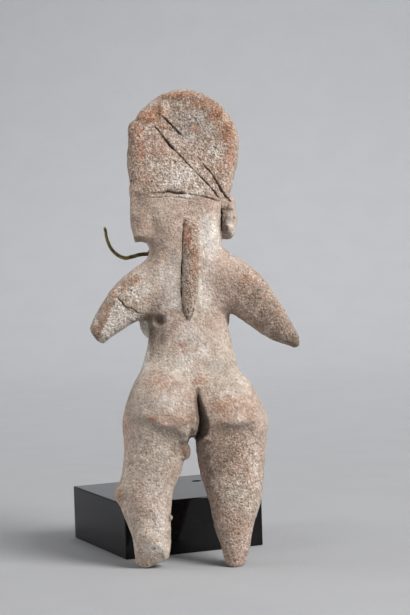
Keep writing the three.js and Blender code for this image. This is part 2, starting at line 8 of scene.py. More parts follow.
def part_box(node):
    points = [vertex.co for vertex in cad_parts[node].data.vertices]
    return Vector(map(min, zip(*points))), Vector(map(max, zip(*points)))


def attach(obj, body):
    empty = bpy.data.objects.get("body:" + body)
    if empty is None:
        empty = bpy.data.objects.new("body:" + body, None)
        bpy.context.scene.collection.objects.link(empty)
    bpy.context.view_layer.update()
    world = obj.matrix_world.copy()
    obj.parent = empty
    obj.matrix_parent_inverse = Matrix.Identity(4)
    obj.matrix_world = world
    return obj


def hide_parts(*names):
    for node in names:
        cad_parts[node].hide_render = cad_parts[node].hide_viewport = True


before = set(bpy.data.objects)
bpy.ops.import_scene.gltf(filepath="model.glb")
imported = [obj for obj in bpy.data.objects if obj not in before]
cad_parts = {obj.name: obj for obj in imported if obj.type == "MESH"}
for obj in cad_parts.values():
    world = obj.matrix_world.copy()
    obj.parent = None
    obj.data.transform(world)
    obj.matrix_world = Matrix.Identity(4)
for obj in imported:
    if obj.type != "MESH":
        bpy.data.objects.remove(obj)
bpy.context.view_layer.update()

mm = 0.001

# Where the pieces stand, in millimetres: the block's nearest corner is the zero of the layout
layout = {
    "blockTurn": 23.31,       # degrees, about the block's nearest corner
    "blockSide": 40.6,
    "figureLean": 9.0,        # degrees the figurine leans back
    "figureX": 18.0,
    "figureY": -13.0,
}
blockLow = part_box("display_block")[0]
layoutShift = np.array([
    blockLow[0] / mm + layout["blockSide"] * math.sin(math.radians(layout["blockTurn"])),
    blockLow[1] / mm,
    0.0,
])
print("frame loaded, layout starts at", layoutShift.round(2))


# Shaping with signed distances, in millimetres
def blend(a, b, reach):
    h = np.clip(0.5 + 0.5 * (b - a) / reach, 0, 1)
    return b * (1 - h) + a * h - reach * h * (1 - h)


def carve(a, cut, reach):
    return -blend(-a, cut, reach)


def oval(x, y, rx, ry):
    k0 = np.hypot(x / rx, y / ry)
    k1 = np.hypot(x / rx ** 2, y / ry ** 2)
    return (k0 - 1) * (k0 + 1e-4) / (k1 + 1e-4 / np.minimum(rx, ry))


def lump(p, centre, radii):
    u = (p - np.array(centre)) / np.array(radii)
    k0 = np.sqrt((u ** 2).sum(1))
    k1 = np.sqrt(((u / np.array(radii)) ** 2).sum(1))
    return (k0 - 1) * (k0 + 1e-4) / (k1 + 1e-4 / min(radii))


def smoothStep(low, high, value):
    t = np.clip((value - low) / (high - low), 0, 1)
    return t * t * (3 - 2 * t)


def addLump(d, p, centre, radii, reach):
    # only the points near the lump are worked out
    near = (np.abs(p - np.array(centre)) < np.array(radii) + reach + 2.5).all(1)
    d[near] = blend(d[near], lump(p[near], centre, radii), reach)


def makeProfile(stations):
    rows = np.array(sorted(stations), float)
    z, value = rows[:, 0], rows[:, 1:]
    step = np.diff(z)
    below, above = step[:-1, None], step[1:, None]
    slope = np.empty_like(value)
    slope[0] = (value[1] - value[0]) / step[0]
    slope[-1] = (value[-1] - value[-2]) / step[-1]
    slope[1:-1] = (below ** 2 * value[2:] + (above ** 2 - below ** 2) * value[1:-1]
                   - above ** 2 * value[:-2]) / (below * above * (below + above))

    def at(height):
        height = np.clip(height, z[0], z[-1])
        i = np.clip(np.searchsorted(z, height, side="right") - 1, 0, len(z) - 2)
        t = (height - z[i]) / step[i]
        first = (1 + 2 * t) * (1 - t) ** 2
        last = t * t * (3 - 2 * t)
        leave = step[i] * t * (1 - t) ** 2
        arrive = step[i] * t * t * (1 - t)
        return [value[i, k] * first + value[i + 1, k] * last + slope[i, k] * leave
                - slope[i + 1, k] * arrive for k in range(value.shape[1])]
    return {"at": at, "low": z[0], "high": z[-1]}


def limb(x, y, z, profile, lowCap, highCap):
    midX, halfX, midY, halfY = profile["at"](z)
    shrink = np.ones_like(z)
    for cap, inside in ((lowCap, profile["low"] + lowCap - z), (highCap, z - profile["high"] + highCap)):
        if cap > 0:
            u = np.clip(inside / cap, 0, 1)
            shrink = shrink * np.sqrt(np.maximum(1 - u * u, 1e-4))
    side = oval(x - midX, y - midY, halfX * shrink, halfY * shrink)
    return np.maximum(side, np.maximum(profile["low"] - z, z - profile["high"]))


def roundedBox(a, b):
    return np.minimum(np.maximum(a, b), 0) + np.hypot(np.maximum(a, 0), np.maximum(b, 0))


def slab(outline, y, half, edge):
    return roundedBox(outline + edge, np.abs(y) - half + edge) - edge


# A smooth curve through points, evenly spaced (centripetal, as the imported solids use)
def throughPoints(points, count):
    p = [Vector(q) for q in points]
    p = [p[0] * 2 - p[1]] + p + [p[-1] * 2 - p[-2]]
    dense = []
    for i in range(1, len(p) - 2):
        a, b, c, d = p[i - 1:i + 3]
        t1 = math.sqrt((b - a).length)
        t2 = t1 + math.sqrt((c - b).length)
        t3 = t2 + math.sqrt((d - c).length)
        for k in range(24):
            t = t1 + (t2 - t1) * k / 24
            ab = a * ((t1 - t) / t1) + b * (t / t1)
            bc = b * ((t2 - t) / (t2 - t1)) + c * ((t - t1) / (t2 - t1))
            cd = c * ((t3 - t) / (t3 - t2)) + d * ((t - t2) / (t3 - t2))
            abc = ab * ((t2 - t) / t2) + bc * (t / t2)
            bcd = bc * ((t3 - t) / (t3 - t1)) + cd * ((t - t1) / (t3 - t1))
            dense.append(abc * ((t2 - t) / (t2 - t1)) + bcd * ((t - t1) / (t2 - t1)))
    dense.append(p[-2])
    dense = np.array([tuple(q) for q in dense])
    run = np.concatenate([[0], np.cumsum(np.linalg.norm(np.diff(dense, axis=0), axis=1))])
    at = np.linspace(0, run[-1], count)
    return np.stack([np.interp(at, run, dense[:, k]) for k in range(3)], 1)


# The clay figurine: sizes in its own upright frame, x across, y toward its front, z up
clay = {
    "cell": 0.45,             # spacing of the sculpting grid
    "strokeRefine": 2,        # extra cuts of the mesh along the incised lines
    "strokeZone": 0.75,       # how far from a line the mesh is refined
    "strokeDepth": 1.0,       # multiplies the depth of every line
    "lumpHeight": 0.55,       # hand-shaped unevenness
    "lumpSize": 6.0,
    "dentHeight": 0.5,        # smaller dents and scars
    "dentSize": 2.1,
    "gritHeight": 0.32,       # sandy surface
    "gritSize": 0.75,
    "pitDepth": 0.35,
    "pitSize": 1.7,
    "seed": 7,
}
trunk = makeProfile([
    (85.0, 0.9, 7.6, 0.3, 3.8), (78.0, 1.2, 10.4, 0.3, 5.0), (71.0, 1.4, 10.6, 0.4, 5.5),
    (65.0, 0.9, 10.1, 0.4, 5.4), (59.0, 0.9, 11.1, 0.0, 5.3), (53.0, 0.75, 12.6, -0.2, 5.8),
    (47.0, 0.85, 14.4, -0.4, 6.8), (42.0, 1.8, 17.5, -0.3, 7.4), (37.0, 1.7, 18.8, 0.2, 7.2),
    (33.0, 1.5, 17.6, 0.5, 6.6),
])
leftLeg = makeProfile([
    (52.0, -6.0, 5.5, 0.4, 4.0), (44.0, -7.2, 8.6, 0.3, 6.6), (38.0, -7.9, 9.4, 0.4, 7.8),
    (31.0, -8.8, 8.5, 0.5, 7.6), (25.0, -10.2, 7.9, 0.5, 6.9), (20.0, -12.0, 7.4, 0.6, 6.2),
    (14.5, -11.7, 6.3, 0.5, 5.3), (9.0, -10.85, 5.2, 0.3, 4.6), (3.6, -10.6, 4.5, 0.1, 4.4),
    (1.0, -10.8, 4.0, 0.0, 4.0), (-1.6, -11.6, 2.8, -0.2, 3.3),
])
rightLeg = makeProfile([
    (52.0, 7.6, 4.0, 0.4, 4.0), (44.0, 9.6, 7.6, 0.3, 6.6), (38.0, 11.5, 9.1, 0.4, 7.8),
    (31.0, 10.9, 9.2, 0.5, 7.6), (24.0, 11.1, 8.3, 0.5, 6.8), (17.0, 11.5, 6.8, 0.5, 5.7),
    (10.0, 11.1, 5.1, 0.3, 4.7), (4.0, 11.3, 3.55, 0.2, 3.9), (1.6, 11.2, 2.9, 0.2, 3.5),
    (-1.2, 11.1, 2.1, 0.2, 2.9),
])
arms = {
    "left": {
        "root": (-6.5, 75.2), "tip": (-24.3, 61.1), "rootCap": 4.5, "tipCap": 1.3,
        "shares": [(-0.34, -0.2, 5.2, 0.3, 4.2), (0.12, -1.2, 6.2, 0.3, 4.7), (0.45, -1.45, 5.6, 0.2, 4.4),
                   (0.72, -1.1, 4.2, 0.1, 4.0), (0.9, -0.45, 3.15, 0.1, 3.5), (1.0, 0.05, 2.7, 0.1, 3.1)],
    },
    "right": {
        "root": (9.5, 75.6), "tip": (29.6, 58.6), "rootCap": 4.5, "tipCap": 1.2,
        "shares": [(-0.3, 0.2, 5.2, 0.3, 4.0), (0.08, 0.9, 6.9, 0.3, 4.8), (0.35, 1.2, 6.15, 0.2, 4.8),
                   (0.62, 0.2, 4.85, 0.1, 4.4), (0.85, -0.5, 3.1, 0.1, 3.6), (0.96, -0.55, 1.9, 0.1, 2.9),
                   (1.035, -0.6, 1.3, 0.1, 2.2)],
    },
}
for arm in arms.values():
    arm["run"] = np.subtract(arm["tip"], arm["root"])
    arm["length"] = np.hypot(*arm["run"])
    arm["profile"] = makeProfile([(row[0] * arm["length"], *row[1:]) for row in arm["shares"]])

crown = {"x": 0.9, "z": 112.65, "halfWidth": 14.85, "rise": 14.6, "power": 1.78}
headWidth = makeProfile([
    (112.65, 0.9, 14.85), (107.0, 0.35, 14.75), (103.0, 0.05, 13.9), (99.5, -0.1, 13.3),
    (96.0, 0.3, 11.2), (91.0, 0.6, 9.8), (85.0, 0.55, 9.75), (80.0, 0.9, 9.3), (75.0, 1.0, 6.5),
])
headDepth = makeProfile([
    (126.75, 0.7, 3.2), (120.0, 0.6, 3.9), (112.0, 0.5, 4.4), (100.0, 0.3, 4.6), (90.0, 0.2, 4.9),
    (82.0, 0.3, 4.9), (75.0, 0.4, 3.2),
])
headEdge = ((75, 80, 92, 100, 112, 127), (3.0, 4.4, 4.2, 3.2, 3.0, 2.6))
dish = ((4.3, -7.2, 114.0), (11.6, 4.15, 12.6))
leftTress = {"low": (-13.8, 86.5), "high": (-8.7, 100.0), "bend": 0.012, "bendAt": 95.0, "mid": -0.5,
             "half": 3.8,
             "edge": 1.1, "corner": 0.0}
rightTress = {"low": (10.3, 86.5), "high": (13.9, 98.5), "bend": -0.008, "bendAt": 92.5, "mid": 0.5,
              "half": 2.9,
              "edge": 1.7, "corner": 1.6}
plait = makeProfile([
    (92.0, 1.75, 1.1), (90.0, 2.1, 1.75), (86.0, 2.1, 2.0), (80.0, 1.85, 2.15), (76.0, 1.6, 2.15),
    (72.4, 1.4, 2.05), (69.7, 1.15, 1.8), (66.5, 0.9, 1.1), (64.3, 0.9, 0.5),
])
plaitRaised = 1.35
spine = ((60, 65, 72, 80, 86, 93), (-5.0, -5.0, -5.05, -4.75, -4.6, -4.5))
buttocks = (                  # centre, radii, height and tilt of the fold below
    ((-6.6, -2.2, 40.3), (9.1, 7.2, 12.6), 34.8, -0.32),
    ((10.6, -2.2, 39.6), (8.3, 7.0, 11.2), 37.3, -0.1),
)
gap = {                       # the opening between the thighs
    "top": 33.6, "roof": 34.3, "floor": 22.0, "x": 0.75, "drift": 0.1, "half": 0.95, "flare": 0.14,
    "reach": 1.2,
}
cleft = {                     # heights, lips, and the bottom's place and depth
    "z": (31.0, 34.2, 35.8, 38.2, 41.3, 43.9, 45.3),
    "left": (1.6, 1.2, 1.9, 2.55, 2.15, 2.0, 2.7),
    "right": (1.6, 6.6, 6.4, 5.9, 4.9, 3.9, 3.0),
    "bottomX": (1.6, 2.1, 2.7, 3.1, 2.75, 2.5, 2.8),
    "bottomY": (-4.6, 0.6, 0.2, -1.4, -3.4, -5.0, -7.2),
    "lid": -12.0,
}
face = {"x": 0.7, "eyeReach": 3.5, "eyeHeight": 98.8, "mouthHeight": 92.4, "bandHeight": 105.4}
facet = {"at": (-9.2, -3.7, 5.6), "normal": (-0.15, -0.88, -0.45), "ceiling": 12.0}
wornSole = {"at": (-8.5, 1.55), "rise": math.radians(25.0), "ceiling": 8.0}
lean = math.radians(layout["figureLean"])


def armFrame(p, arm):
    # along the arm from its root, and across it
    along = arm["run"] / arm["length"]
    dx, dz = p[:, 0] - arm["root"][0], p[:, 2] - arm["root"][1]
    return dx * along[0] + dz * along[1], dz * along[0] - dx * along[1]


def armShape(p, arm):
    along, across = armFrame(p, arm)
    return limb(across, p[:, 1], along, arm["profile"], arm["rootCap"], arm["tipCap"])


def headShape(p):
    x, y, z = p.T
    midX, halfX = headWidth["at"](z)
    midY, halfY = headDepth["at"](z)
    rise = np.maximum(z - crown["z"], 0)
    across = np.abs(x - crown["x"]) / crown["halfWidth"]
    power = crown["power"]
    dome = (across ** power + (rise / crown["rise"]) ** power + 1e-9) ** (1 / power) - 1
    dome = dome * crown["rise"]
    sides = np.abs(x - midX) - halfX
    outline = np.maximum(np.where(z > crown["z"], dome, sides), headWidth["low"] - z)
    flat = slab(outline, y - midY, halfY, np.interp(z, *headEdge))
    return carve(flat, lump(p, *dish), 0.9)


def tressShape(p, tress):
    x, y, z = p.T
    (x0, z0), (x1, z1), corner = tress["low"], tress["high"], tress["corner"]
    shifted = x - tress["bend"] * (z - tress["bendAt"]) ** 2
    a = np.abs(shifted - (x0 + x1) / 2) - (x1 - x0) / 2 + corner
    b = np.abs(z - (z0 + z1) / 2) - (z1 - z0) / 2 + corner
    outline = roundedBox(a, b) - corner
    return slab(outline, y - tress["mid"], tress["half"], tress["edge"])


def plaitShape(p):
    x, y, z = p.T
    midX, halfX = plait["at"](z)
    fromTop = np.clip((plait["high"] - z) / 6.0, 0.02, 1)
    fromTip = np.clip((z - plait["low"]) / 5.0, 0.02, 1)
    raised = plaitRaised * np.sqrt(fromTop * fromTip)
    ridge = oval(x - midX, y - np.interp(z, *spine) - 0.2, halfX, raised + 0.2)
    return np.maximum(ridge, np.maximum(plait["low"] - z, z - plait["high"]))


def buttock(p, centre, radii, fold, tilt):
    underside = fold + tilt * p[:, 0] - 0.25 * (p[:, 1] + 8) - p[:, 2]
    return carve(lump(p, centre, radii), -underside, 1.3)


def thighGap(x, z):
    below = gap["top"] - z
    sides = np.abs(x - (gap["x"] - gap["drift"] * below)) - (gap["half"] + gap["flare"] * below)
    return np.maximum(carve(sides, gap["roof"] - z, gap["reach"]), gap["floor"] - z)


def cleftShape(p):
    x, y, z = p.T
    left, right, bottomX, bottomY = (np.interp(z, cleft["z"], cleft[k])
                                     for k in ("left", "right", "bottomX", "bottomY"))
    share = (y - cleft["lid"]) / (bottomY - cleft["lid"])
    return np.maximum(left + (bottomX - left) * share - x, x - right - (bottomX - right) * share)


# Incised lines of the back and the front: half width, depth, raised burr, path (x, z)
backStrokes = [
    (0.2, 0.4, 0.06, [(-9.4, 98.5), (-6.6, 98.65), (-4.6, 98.75), (-3.0, 99.05)]),
    (0.27, 0.8, 0.14, [(-5.6, 98.6), (-3.2, 98.95), (-1.6, 98.5), (0.2, 98.35), (1.3, 98.3)]),
    (0.16, 0.35, 0.12, [(1.5, 98.2), (3.6, 97.7), (6.1, 97.25)]),
    (0.21, 0.55, 0.12, [(5.4, 97.35), (7.2, 96.9), (8.6, 96.3), (10.1, 95.9)]),
    (0.14, 0.25, 0.05, [(-9.3, 97.45), (-6.2, 97.4), (-3.2, 97.5), (-0.6, 97.3), (1.4, 96.75),
                        (3.6, 96.6)]),
    (0.17, 0.5, 0.1, [(-6.9, 117.0), (-5.6, 115.4), (-4.6, 114.0)]),
    (0.24, 0.8, 0.13, [(-5.0, 114.55), (-3.6, 112.5), (-2.3, 110.9), (-0.9, 109.4)]),
    (0.15, 0.5, 0.1, [(-1.3, 109.9), (0.2, 108.4), (2.2, 105.9), (4.4, 103.4)]),
    (0.2, 0.6, 0.13, [(3.9, 103.9), (5.8, 101.9), (7.3, 100.2), (8.6, 98.5), (9.9, 96.7)]),
    (0.21, 0.65, 0.12, [(-4.7, 119.5), (-3.0, 117.8), (-1.5, 116.1), (0.6, 114.0)]),
    (0.19, 0.55, 0.1, [(5.7, 106.5), (7.2, 104.4), (8.6, 102.5)]),
    (0.23, 0.75, 0.12, [(8.2, 103.0), (9.7, 100.4), (11.0, 98.2), (12.2, 96.8), (13.0, 95.9)]),
    (0.14, 0.3, 0.04, [(8.6, 111.0), (9.6, 110.0)]),
    (0.13, 0.2, 0.04, [(4.3, 108.4), (5.6, 106.8)]),
    (0.15, 0.85, 0.0, [(10.6, 96.0), (10.5, 93.9), (10.3, 91.0), (10.35, 88.2)]),
    (0.13, 0.85, 0.0, [(1.3, 91.7), (0.45, 90.2), (0.1, 88.0), (-0.1, 85.0), (-0.3, 81.0), (-0.62, 77.0),
                       (-0.8, 72.0), (-0.55, 68.4)]),
    (0.11, 0.3, 0.05, [(-0.6, 69.4), (-0.35, 67.4), (0.15, 65.6), (0.75, 64.6), (1.45, 65.2), (2.1, 67.0),
                       (2.75, 69.6)]),
    (0.1, 0.2, 0.03, [(0.55, 68.2), (0.75, 66.8), (0.8, 65.6)]),
    (0.1, 0.2, 0.03, [(1.5, 68.4), (1.2, 67.0), (1.0, 65.8)]),
    (0.16, 0.55, 0.0, [(-17.7, 71.4), (-17.0, 70.3), (-16.4, 69.9), (-16.1, 69.1), (-14.9, 68.3),
                       (-13.6, 68.0), (-12.7, 67.3), (-11.0, 66.9)]),
]
frontStrokes = [
    (0.26, 0.7, 0.05, [(-4.6, 98.8), (-2.8, 98.55), (-1.0, 98.8)]),
    (0.26, 0.7, 0.05, [(2.4, 98.8), (4.2, 98.55), (6.0, 98.8)]),
    (0.22, 0.6, 0.05, [(-1.3, 92.45), (0.7, 92.35), (2.7, 92.45)]),
    (0.24, 0.5, 0.08, [(-8.6, 107.6), (-8.2, 112.0), (-6.4, 118.5)]),
    (0.24, 0.5, 0.08, [(-3.4, 108.0), (-3.2, 113.5), (-2.4, 120.5)]),
    (0.24, 0.5, 0.08, [(1.0, 108.1), (1.1, 114.0), (1.0, 121.5)]),
    (0.24, 0.5, 0.08, [(5.3, 108.0), (5.2, 113.5), (4.4, 120.5)]),
    (0.24, 0.5, 0.08, [(10.2, 107.6), (9.9, 112.0), (8.2, 118.5)]),
]
strokes = [{"half": half, "depth": depth, "burr": burr, "path": path, "side": side}
           for side, rows in ((-1, backStrokes), (1, frontStrokes)) for half, depth, burr, path in rows]
handShake = np.random.default_rng(clay["seed"])
for stroke in strokes:
    length = np.hypot(*np.diff(np.array(stroke["path"]), axis=0).T).sum()
    count = max(5, int(length / 0.55))
    line = throughPoints([(x, 0, z) for x, z in stroke["path"]], count)[:, [0, 2]]
    line[1:-1] += handShake.normal(0, 0.06, (count - 2, 2))
    stroke["line"] = line
    stroke["press"] = np.clip(handShake.normal(1, 0.15, count), 0.65, 1.3)


def strokeCut(p, stroke):
    # depth cut at each point, less the clay pushed up beside the line, and the distance to the line
    line = stroke["line"]
    best = np.full(len(p), 1e3)
    share = np.zeros(len(p))
    for i in range(len(line) - 1):
        run = line[i + 1] - line[i]
        rel = p[:, [0, 2]] - line[i]
        t = np.clip(rel @ run / (run @ run), 0, 1)
        far = np.hypot(rel[:, 0] - t * run[0], rel[:, 1] - t * run[1])
        closer = far < best
        best[closer] = far[closer]
        share[closer] = (i + t[closer]) / (len(line) - 1)
    swell = np.clip(1 - (2 * share - 1) ** 4, 0, 1) ** 0.5
    press = np.interp(share, np.linspace(0, 1, len(line)), stroke["press"])
    half = stroke["half"] * (0.45 + 0.55 * swell) * press
    bowl = np.clip(1 - (best / (half * 1.7)) ** 1.6, 0, 1)
    groove = clay["strokeDepth"] * stroke["depth"] * swell * press * bowl
    burr = stroke["burr"] * swell * np.exp(-((best - 2.1 * half) / (0.8 * half)) ** 2)
    return groove - burr, best


def strokeField(p):
    cut = np.zeros(len(p))
    nearest = np.full(len(p), 9.0)
    for stroke in strokes:
        low, high = stroke["line"].min(0) - 2.5, stroke["line"].max(0) + 2.5
        near = ((p[:, 0] > low[0]) & (p[:, 0] < high[0]) & (p[:, 2] > low[1]) & (p[:, 2] < high[1])
                & (p[:, 1] * stroke["side"] > 0.4))
        if near.any():
            depth, far = strokeCut(p[near], stroke)
            cut[near] = np.where(depth > 0, np.maximum(cut[near], depth),
                                 np.where(cut[near] > 0, cut[near], depth))
            nearest[near] = np.minimum(nearest[near], far)
    return cut, nearest


# Small hand-made forms: centre, radii, reach of the blend
smallForms = [
    ((-7.7, 3.9, 65.2), (4.7, 3.9, 5.0), 1.8), ((8.0, 4.0, 65.8), (3.7, 3.8, 4.7), 1.8),
    ((1.3, 1.5, 49.0), (9.0, 5.4, 9.0), 3.0),
]
lateForms = [
    ((-11.0, -2.7, 91.6), (2.0, 2.3, 4.0), 1.2), ((11.9, -1.7, 81.9), (0.8, 0.7, 0.6), 0.4),
    ((-4.4, -4.2, 96.95), (1.2, 0.5, 0.3), 0.3), ((-1.6, -4.3, 96.6), (0.9, 0.5, 0.3), 0.3),
    ((2.6, -4.3, 96.1), (1.0, 0.55, 0.32), 0.3),
    ((5.0, -4.2, 95.6), (0.8, 0.5, 0.35), 0.3), ((7.2, -4.0, 95.2), (1.1, 0.6, 0.35), 0.3),
    ((9.0, -3.6, 94.6), (0.7, 0.5, 0.4), 0.3),
    ((-7.2, -4.1, 96.8), (0.9, 0.45, 0.25), 0.3), ((0.6, -4.3, 99.2), (1.0, 0.4, 0.3), 0.3),
    ((-2.4, -4.3, 99.75), (1.2, 0.4, 0.3), 0.3),
    ((12.7, -0.4, 91.8), (1.9, 2.9, 2.6), 1.0),
    ((-18.1, 0.0, 19.6), (1.6, 2.6, 2.4), 1.2), ((-1.2, -1.4, 30.3), (1.4, 2.0, 2.2), 0.5),
    ((-1.0, -2.6, 31.4), (0.8, 0.8, 0.7), 0.2), ((-0.9, -2.9, 29.7), (0.6, 0.7, 0.6), 0.2),
    ((-2.2, -3.6, 31.9), (0.8, 0.9, 0.9), 0.25), ((-2.4, -3.7, 30.4), (0.6, 0.7, 0.7), 0.2),
    ((-2.1, -3.0, 28.7), (0.7, 0.7, 0.6), 0.2),
    ((-5.45, -1.0, 13.0), (0.5, 0.7, 0.75), 0.35),
    ((-4.4, -3.2, 121.0), (0.8, 0.75, 2.2), 0.7), ((-8.6, -3.2, 119.2), (2.4, 1.1, 1.5), 0.9),
    ((-12.2, -2.4, 115.5), (1.6, 1.6, 3.2), 0.9), ((13.3, -2.6, 113.5), (1.5, 1.4, 4.2), 0.9),
    ((9.2, -2.7, 120.6), (2.9, 1.2, 1.6), 0.9), ((1.5, -2.2, 124.9), (5.4, 1.2, 1.2), 0.8),
    ((12.9, -1.0, 94.6), (1.4, 2.3, 1.5), 0.5), ((12.2, -1.6, 89.2), (1.5, 2.2, 1.5), 0.5),
    ((13.4, -0.4, 96.2), (0.9, 1.6, 0.9), 0.4),
    ((1.7, -7.6, 35.6), (0.6, 0.8, 0.7), 0.5),
    ((13.4, -8.0, 37.6), (4.4, 1.1, 1.2), 0.9), ((16.3, -6.4, 36.6), (1.6, 1.2, 1.4), 0.8),
    ((-4.0, -8.5, 38.2), (4.2, 1.1, 1.5), 0.9), ((-10.3, -8.0, 39.9), (1.5, 0.9, 1.0), 0.7),
    ((face["x"], 7.2, 97.2), (1.15, 2.2, 2.7), 0.7),
    ((face["x"], 6.9, face["mouthHeight"]), (2.2, 1.2, 1.0), 0.5),
    ((face["x"] - face["eyeReach"], 6.3, face["eyeHeight"]), (2.0, 1.1, 1.15), 0.5),
    ((face["x"] + face["eyeReach"], 6.3, face["eyeHeight"]), (2.0, 1.1, 1.15), 0.5),
]
hollows = [                   # places where clay is worn or broken away
    ((-24.9, -2.6, 60.2), (2.2, 2.0, 1.9), 0.3),
    ((-7.5, -5.2, 64.9), (2.5, 3.9, 2.1), 0.2), ((-7.3, -6.3, 60.4), (1.5, 2.7, 5.0), 0.8),
    ((-22.4, -4.3, 64.2), (0.6, 1.0, 0.9), 0.2), ((-22.6, -4.1, 62.3), (0.5, 1.0, 0.8), 0.2),
    ((-20.6, -4.6, 66.9), (0.5, 1.0, 0.7), 0.2), ((-19.0, -4.9, 69.7), (0.5, 0.9, 0.8), 0.2),
    ((12.9, -3.6, 93.6), (0.6, 0.8, 0.7), 0.25), ((13.7, -2.8, 91.2), (0.5, 0.6, 0.6), 0.25),
    ((11.3, -3.4, 88.6), (0.6, 0.9, 0.9), 0.25),
    ((28.9, -4.6, 58.9), (2.4, 2.4, 1.6), 0.5),
    ((-10.6, -5.9, 11.6), (2.6, 2.3, 3.6), 0.9), ((-15.6, 0.0, -1.2), (2.9, 7.0, 2.6), 0.5),
    ((-2.2, -8.3, 119.9), (1.8, 5.2, 2.6), 0.5),
    ((1.3, 7.3, 52.5), (0.8, 1.6, 0.8), 0.4),
]


def flakeMask(p):
    # the patch of the left arm below the crack where the skin has flaked off
    u, v = armFrame(p, arms["left"])
    inside = np.minimum(u - 11.1 + 0.5 * np.maximum(v, 0), v + 3.7 - 0.49 * (u - 12.0))
    return smoothStep(-0.1, 0.3, inside) * smoothStep(0.6, -0.6, p[:, 1]) * smoothStep(8.5, 7.5, v)


def hackle(p):
    # a broken, bumpy surface between about -1 and 1
    x, y, z = p.T
    return (np.sin(3.9 * x + 1.7 * z) * np.sin(3.1 * z - 2.2 * x + 1.1 * y) + 0.6 * np.sin(6.1 * z + 4.0 * x)
            * np.sin(5.2 * x - 3.4 * z + 0.7)) / 1.6


def figureShape(p):
    x, y, z = p.T
    d = limb(x, y, z, trunk, 0, 1.5)
    low = z < 58
    for side in buttocks:
        d[low] = blend(d[low], buttock(p[low], *side), 3.0)
    high = z > 66
    d[high] = blend(d[high], headShape(p[high]), 3.0)
    middle = (z > 50) & (z < 90)
    for arm in arms.values():
        d[middle] = blend(d[middle], armShape(p[middle], arm), 2.2)
    for form in smallForms:
        addLump(d, p, *form)
    for leg, cap in ((leftLeg, 1.2), (rightLeg, 2.0)):
        d[low] = blend(d[low], limb(x[low], y[low], z[low], leg, cap, 3.0), 1.4)
    d[low] = carve(d[low], thighGap(x[low], z[low]), 0.4)
    near = (z > 30.5) & (z < 47)
    d[near] = carve(d[near], cleftShape(p[near]), 0.6)
    near = (z > 84) & (z < 103)
    d[near] = blend(d[near], tressShape(p[near], leftTress), 2.2)
    d[near] = blend(d[near], tressShape(p[near], rightTress), 0.9)
    near = (z > 61) & (z < 96) & (y < 0)
    d[near] = blend(d[near], plaitShape(p[near]), 0.35)
    addLump(d, p, (face["x"], 2.6, 96.2), (8.2, 5.0, 8.6), 1.6)
    bent = p + np.stack([0 * x, 0 * x, 0.012 * (x - face["x"]) ** 2], 1)
    addLump(d, bent, (face["x"], 3.6, face["bandHeight"]), (13.6, 3.2, 2.1), 1.0)
    for form in lateForms:
        addLump(d, p, *form)
    for centre, radii, reach in hollows:
        near = (np.abs(p - np.array(centre)) < np.array(radii) + 3).all(1)
        d[near] = carve(d[near], lump(p[near], centre, radii), reach)
    near = (x > 10.8) & (z > 86) & (z < 97) & (y < 0)
    d[near] += 0.16 * hackle(p[near])
    near = (x > -3.6) & (x < 0.6) & (z > 27.5) & (z < 33.5)
    d[near] += 0.17 * hackle(p[near])
    near = (x < -9) & (z > 57) & (z < 74) & (y < 1)
    d[near] += flakeMask(p[near]) * (0.28 + 0.2 * hackle(p[near]))
    near = z < facet["ceiling"]
    slope = (p[near] - np.array(facet["at"])) @ np.array(facet["normal"])
    d[near] = carve(d[near], -slope, 0.3)
    near = (z < wornSole["ceiling"]) & (x < 0)
    wear = ((x[near] - wornSole["at"][0]) * math.sin(wornSole["rise"])
            - (z[near] - wornSole["at"][1]) * math.cos(wornSole["rise"]))
    d[near] = carve(d[near], -wear, 0.5)
    near = z < 4
    d[near] = carve(d[near], z[near] * math.cos(lean) - y[near] * math.sin(lean), 1.1)
    return d


def figureField(p):
    d = figureShape(p)
    near = (p[:, 2] > 60) & (np.abs(d) < 3)
    if near.any():
        d[near] += strokeField(p[near])[0]
    return d


def sculptGrid(cell):
    # only blocks of the grid near the surface are worked out point by point
    low, high = np.array([-27.5, -12.4, -2.6]), np.array([33.6, 11.4, 129.4])
    coarse = 4
    count = (np.ceil((high - low) / cell / coarse).astype(int)) * coarse
    lines = [low[k] + cell * np.arange(count[k]) for k in range(3)]
    blocks = count // coarse
    centres = [low[k] + cell * (coarse * np.arange(blocks[k]) + (coarse - 1) / 2) for k in range(3)]
    points = np.stack(np.meshgrid(*centres, indexing="ij"), -1).reshape(-1, 3)
    rough = figureShape(points).reshape(blocks)
    values = rough.repeat(coarse, 0).repeat(coarse, 1).repeat(coarse, 2)
    near = (np.abs(rough) < coarse * cell * 1.9).repeat(coarse, 0).repeat(coarse, 1).repeat(coarse, 2)
    i, j, k = np.nonzero(near)
    values[i, j, k] = figureField(np.stack([lines[0][i], lines[1][j], lines[2][k]], 1))
    return lines, values


